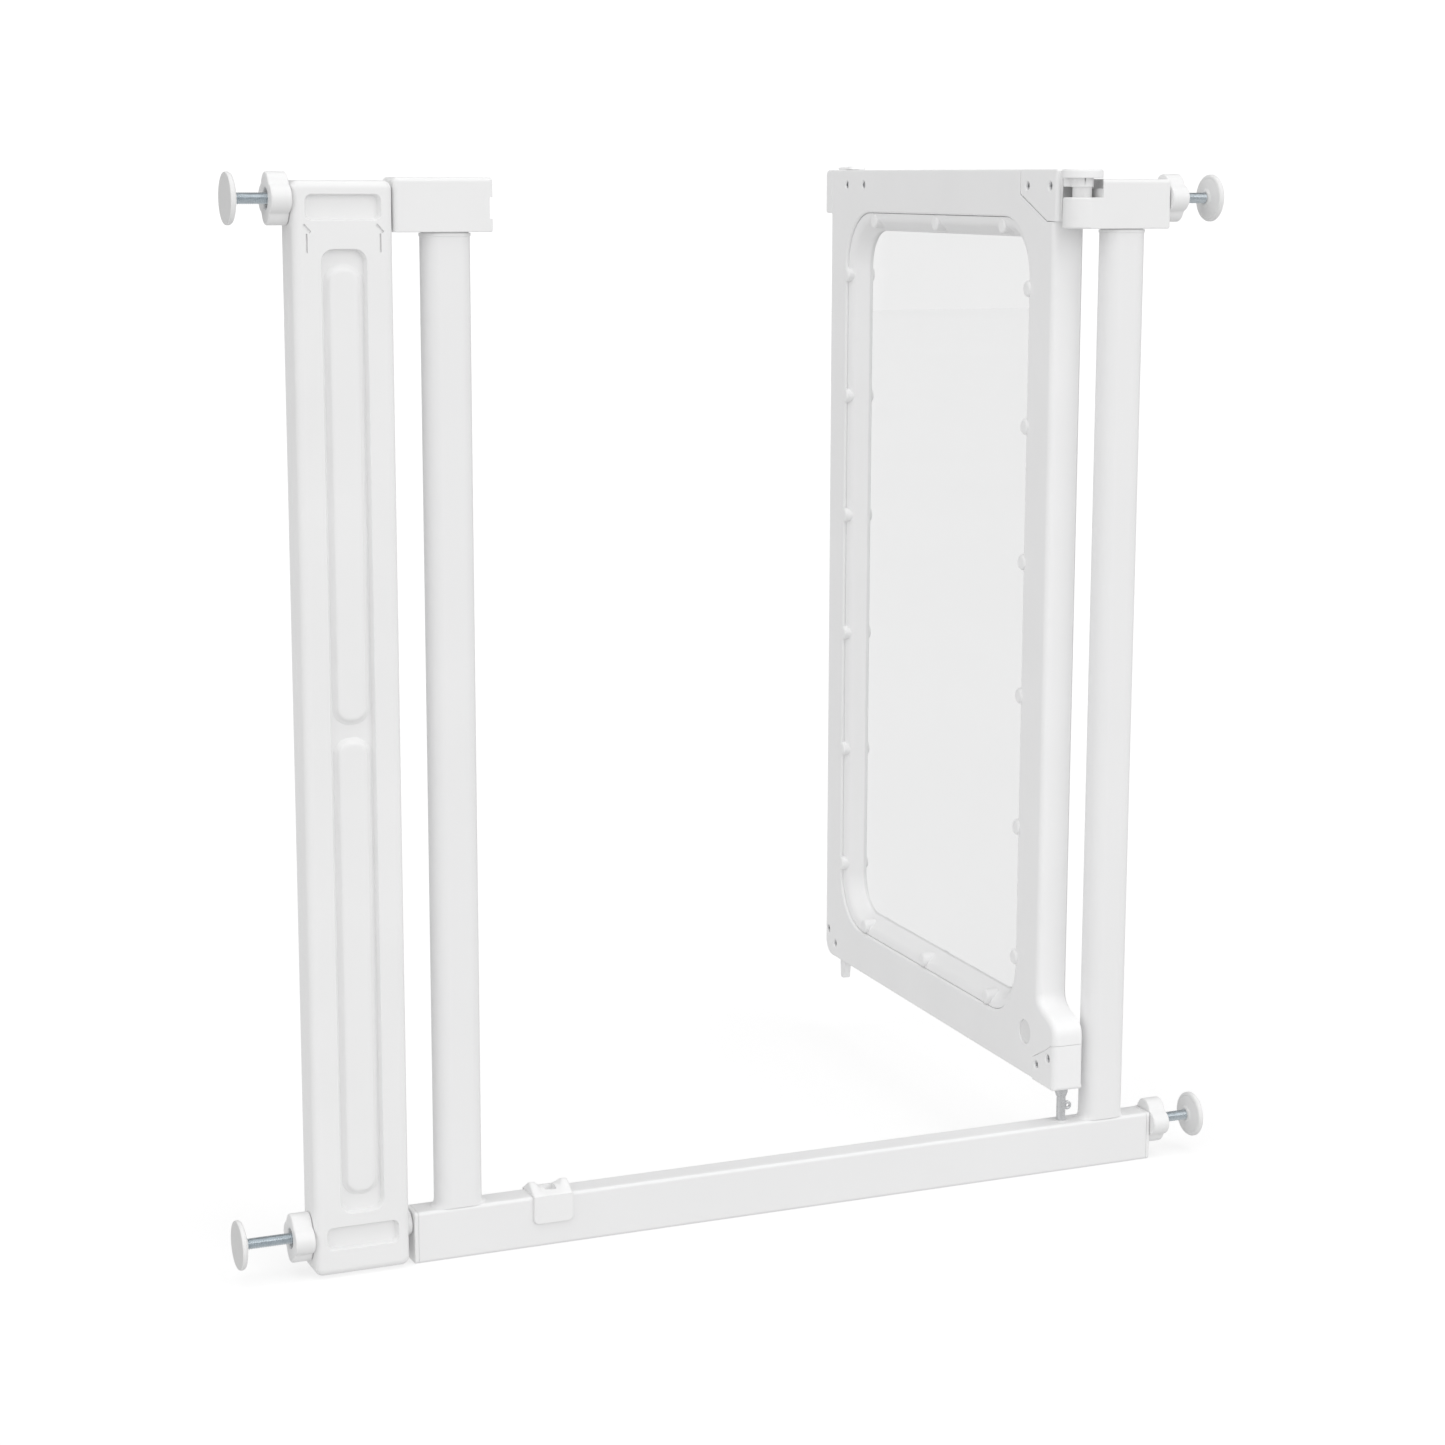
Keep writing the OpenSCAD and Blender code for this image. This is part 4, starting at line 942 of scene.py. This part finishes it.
# ------------------------------------------------------------------ stage and light
floor = make("floor", [(-14, -14, 0), (14, -14, 0), (14, 14, 0), (-14, 14, 0)], [(0, 1, 2, 3)])
fm = bpy.data.materials.new("floor_white")
fm.use_nodes = True
nt = fm.node_tree
nt.nodes.clear()
out = nt.nodes.new("ShaderNodeOutputMaterial")
tc = nt.nodes.new("ShaderNodeTexCoord")
dif = nt.nodes.new("ShaderNodeBsdfDiffuse")
nt.links.new(tint(nt, noise(nt, tc, 1.2, 2), (0.45, 0.45, 0.45), (0.46, 0.46, 0.46)), dif.inputs["Color"])
glow = nt.nodes.new("ShaderNodeEmission")
glow.inputs["Strength"].default_value = 0.60
seen = nt.nodes.new("ShaderNodeAddShader")
nt.links.new(dif.outputs[0], seen.inputs[0])
nt.links.new(glow.outputs[0], seen.inputs[1])
bounce = nt.nodes.new("ShaderNodeEmission")
bounce.inputs["Strength"].default_value = 0.65
path_node = nt.nodes.new("ShaderNodeLightPath")
pick = nt.nodes.new("ShaderNodeMixShader")
nt.links.new(path_node.outputs["Is Camera Ray"], pick.inputs[0])
nt.links.new(bounce.outputs[0], pick.inputs[1])
nt.links.new(seen.outputs[0], pick.inputs[2])
nt.links.new(pick.outputs[0], out.inputs[0])
floor.data.materials.append(fm)

world = bpy.data.worlds.new("studio")
bpy.context.scene.world = world
world.use_nodes = True
wt = world.node_tree
wt.nodes.clear()


def sky(strength):
    b = wt.nodes.new("ShaderNodeBackground")
    b.inputs[0].default_value = (1, 1, 1, 1)
    b.inputs[1].default_value = strength
    return b


wo = wt.nodes.new("ShaderNodeOutputWorld")
lp = wt.nodes.new("ShaderNodeLightPath")
mix = wt.nodes.new("ShaderNodeMixShader")
wt.links.new(lp.outputs["Is Camera Ray"], mix.inputs[0])
mix_g = wt.nodes.new("ShaderNodeMixShader")
wt.links.new(lp.outputs["Is Glossy Ray"], mix_g.inputs[0])
around = wt.nodes.new("ShaderNodeMapRange")      # the room is brighter in front than behind
around.inputs["From Min"].default_value = -1.0
around.inputs["From Max"].default_value = 1.0
around.inputs["To Min"].default_value = 0.86
around.inputs["To Max"].default_value = 0.32
soft = sky(1.0)
wt.links.new(around.outputs[0], soft.inputs[1])
wt.links.new(soft.outputs[0], mix_g.inputs[1])
# what polished metal mirrors: bright soft boxes in front and above, dark gaps between them
wc = wt.nodes.new("ShaderNodeTexCoord")
sep = wt.nodes.new("ShaderNodeSeparateXYZ")
wt.links.new(wc.outputs["Generated"], sep.inputs[0])
wt.links.new(sep.outputs["Y"], around.inputs["Value"])
ang = wt.nodes.new("ShaderNodeMath")
ang.operation = "ARCTAN2"
neg = wt.nodes.new("ShaderNodeMath")
neg.operation = "MULTIPLY"
neg.inputs[1].default_value = -1.0
wt.links.new(sep.outputs["Y"], neg.inputs[0])
wt.links.new(sep.outputs["Z"], ang.inputs[0])
wt.links.new(neg.outputs[0], ang.inputs[1])
scl = wt.nodes.new("ShaderNodeMapRange")
scl.inputs["From Min"].default_value = 0.0
scl.inputs["From Max"].default_value = math.pi
wt.links.new(ang.outputs[0], scl.inputs["Value"])
ramp = wt.nodes.new("ShaderNodeValToRGB")
stops = [(0.0, 0.16), (0.10, 0.22), (0.17, 0.95), (0.30, 0.95), (0.36, 0.30), (0.62, 0.20), (0.78, 0.34), (0.90, 0.42), (1.0, 0.42)]
el = ramp.color_ramp.elements
el[0].position, el[0].color = stops[0][0], (stops[0][1],) * 3 + (1,)
el[1].position, el[1].color = stops[-1][0], (stops[-1][1],) * 3 + (1,)
for q, v in stops[1:-1]:
    e = el.new(q)
    e.color = (v, v, v, 1)
wt.links.new(scl.outputs[0], ramp.inputs[0])
gl = wt.nodes.new("ShaderNodeBackground")
gl.inputs[1].default_value = 1.0
wt.links.new(ramp.outputs[0], gl.inputs[0])
wt.links.new(gl.outputs[0], mix_g.inputs[2])
wt.links.new(mix_g.outputs[0], mix.inputs[1])
wt.links.new(sky(1.08).outputs[0], mix.inputs[2])
wt.links.new(mix.outputs[0], wo.inputs[0])


def sun(name, direction, strength, angle):
    d = bpy.data.lights.new(name, "SUN")
    d.energy = strength
    d.angle = math.radians(angle)
    o = bpy.data.objects.new(name, d)
    o.rotation_mode = "QUATERNION"
    o.rotation_quaternion = Vector(direction).to_track_quat("Z", "Y")
    bpy.context.scene.collection.objects.link(o)


sun("key", (0.42, -0.80, 0.38), 0.62, 45)
sun("top", (0.05, -0.10, 1.0), 0.72, 60)
sun("fill_left", (-0.90, -0.20, 0.38), 0.68, 70)
bpy.context.scene.view_settings.view_transform = "Standard"
bpy.context.scene.view_settings.look = "None"

bpy.context.view_layer.update()
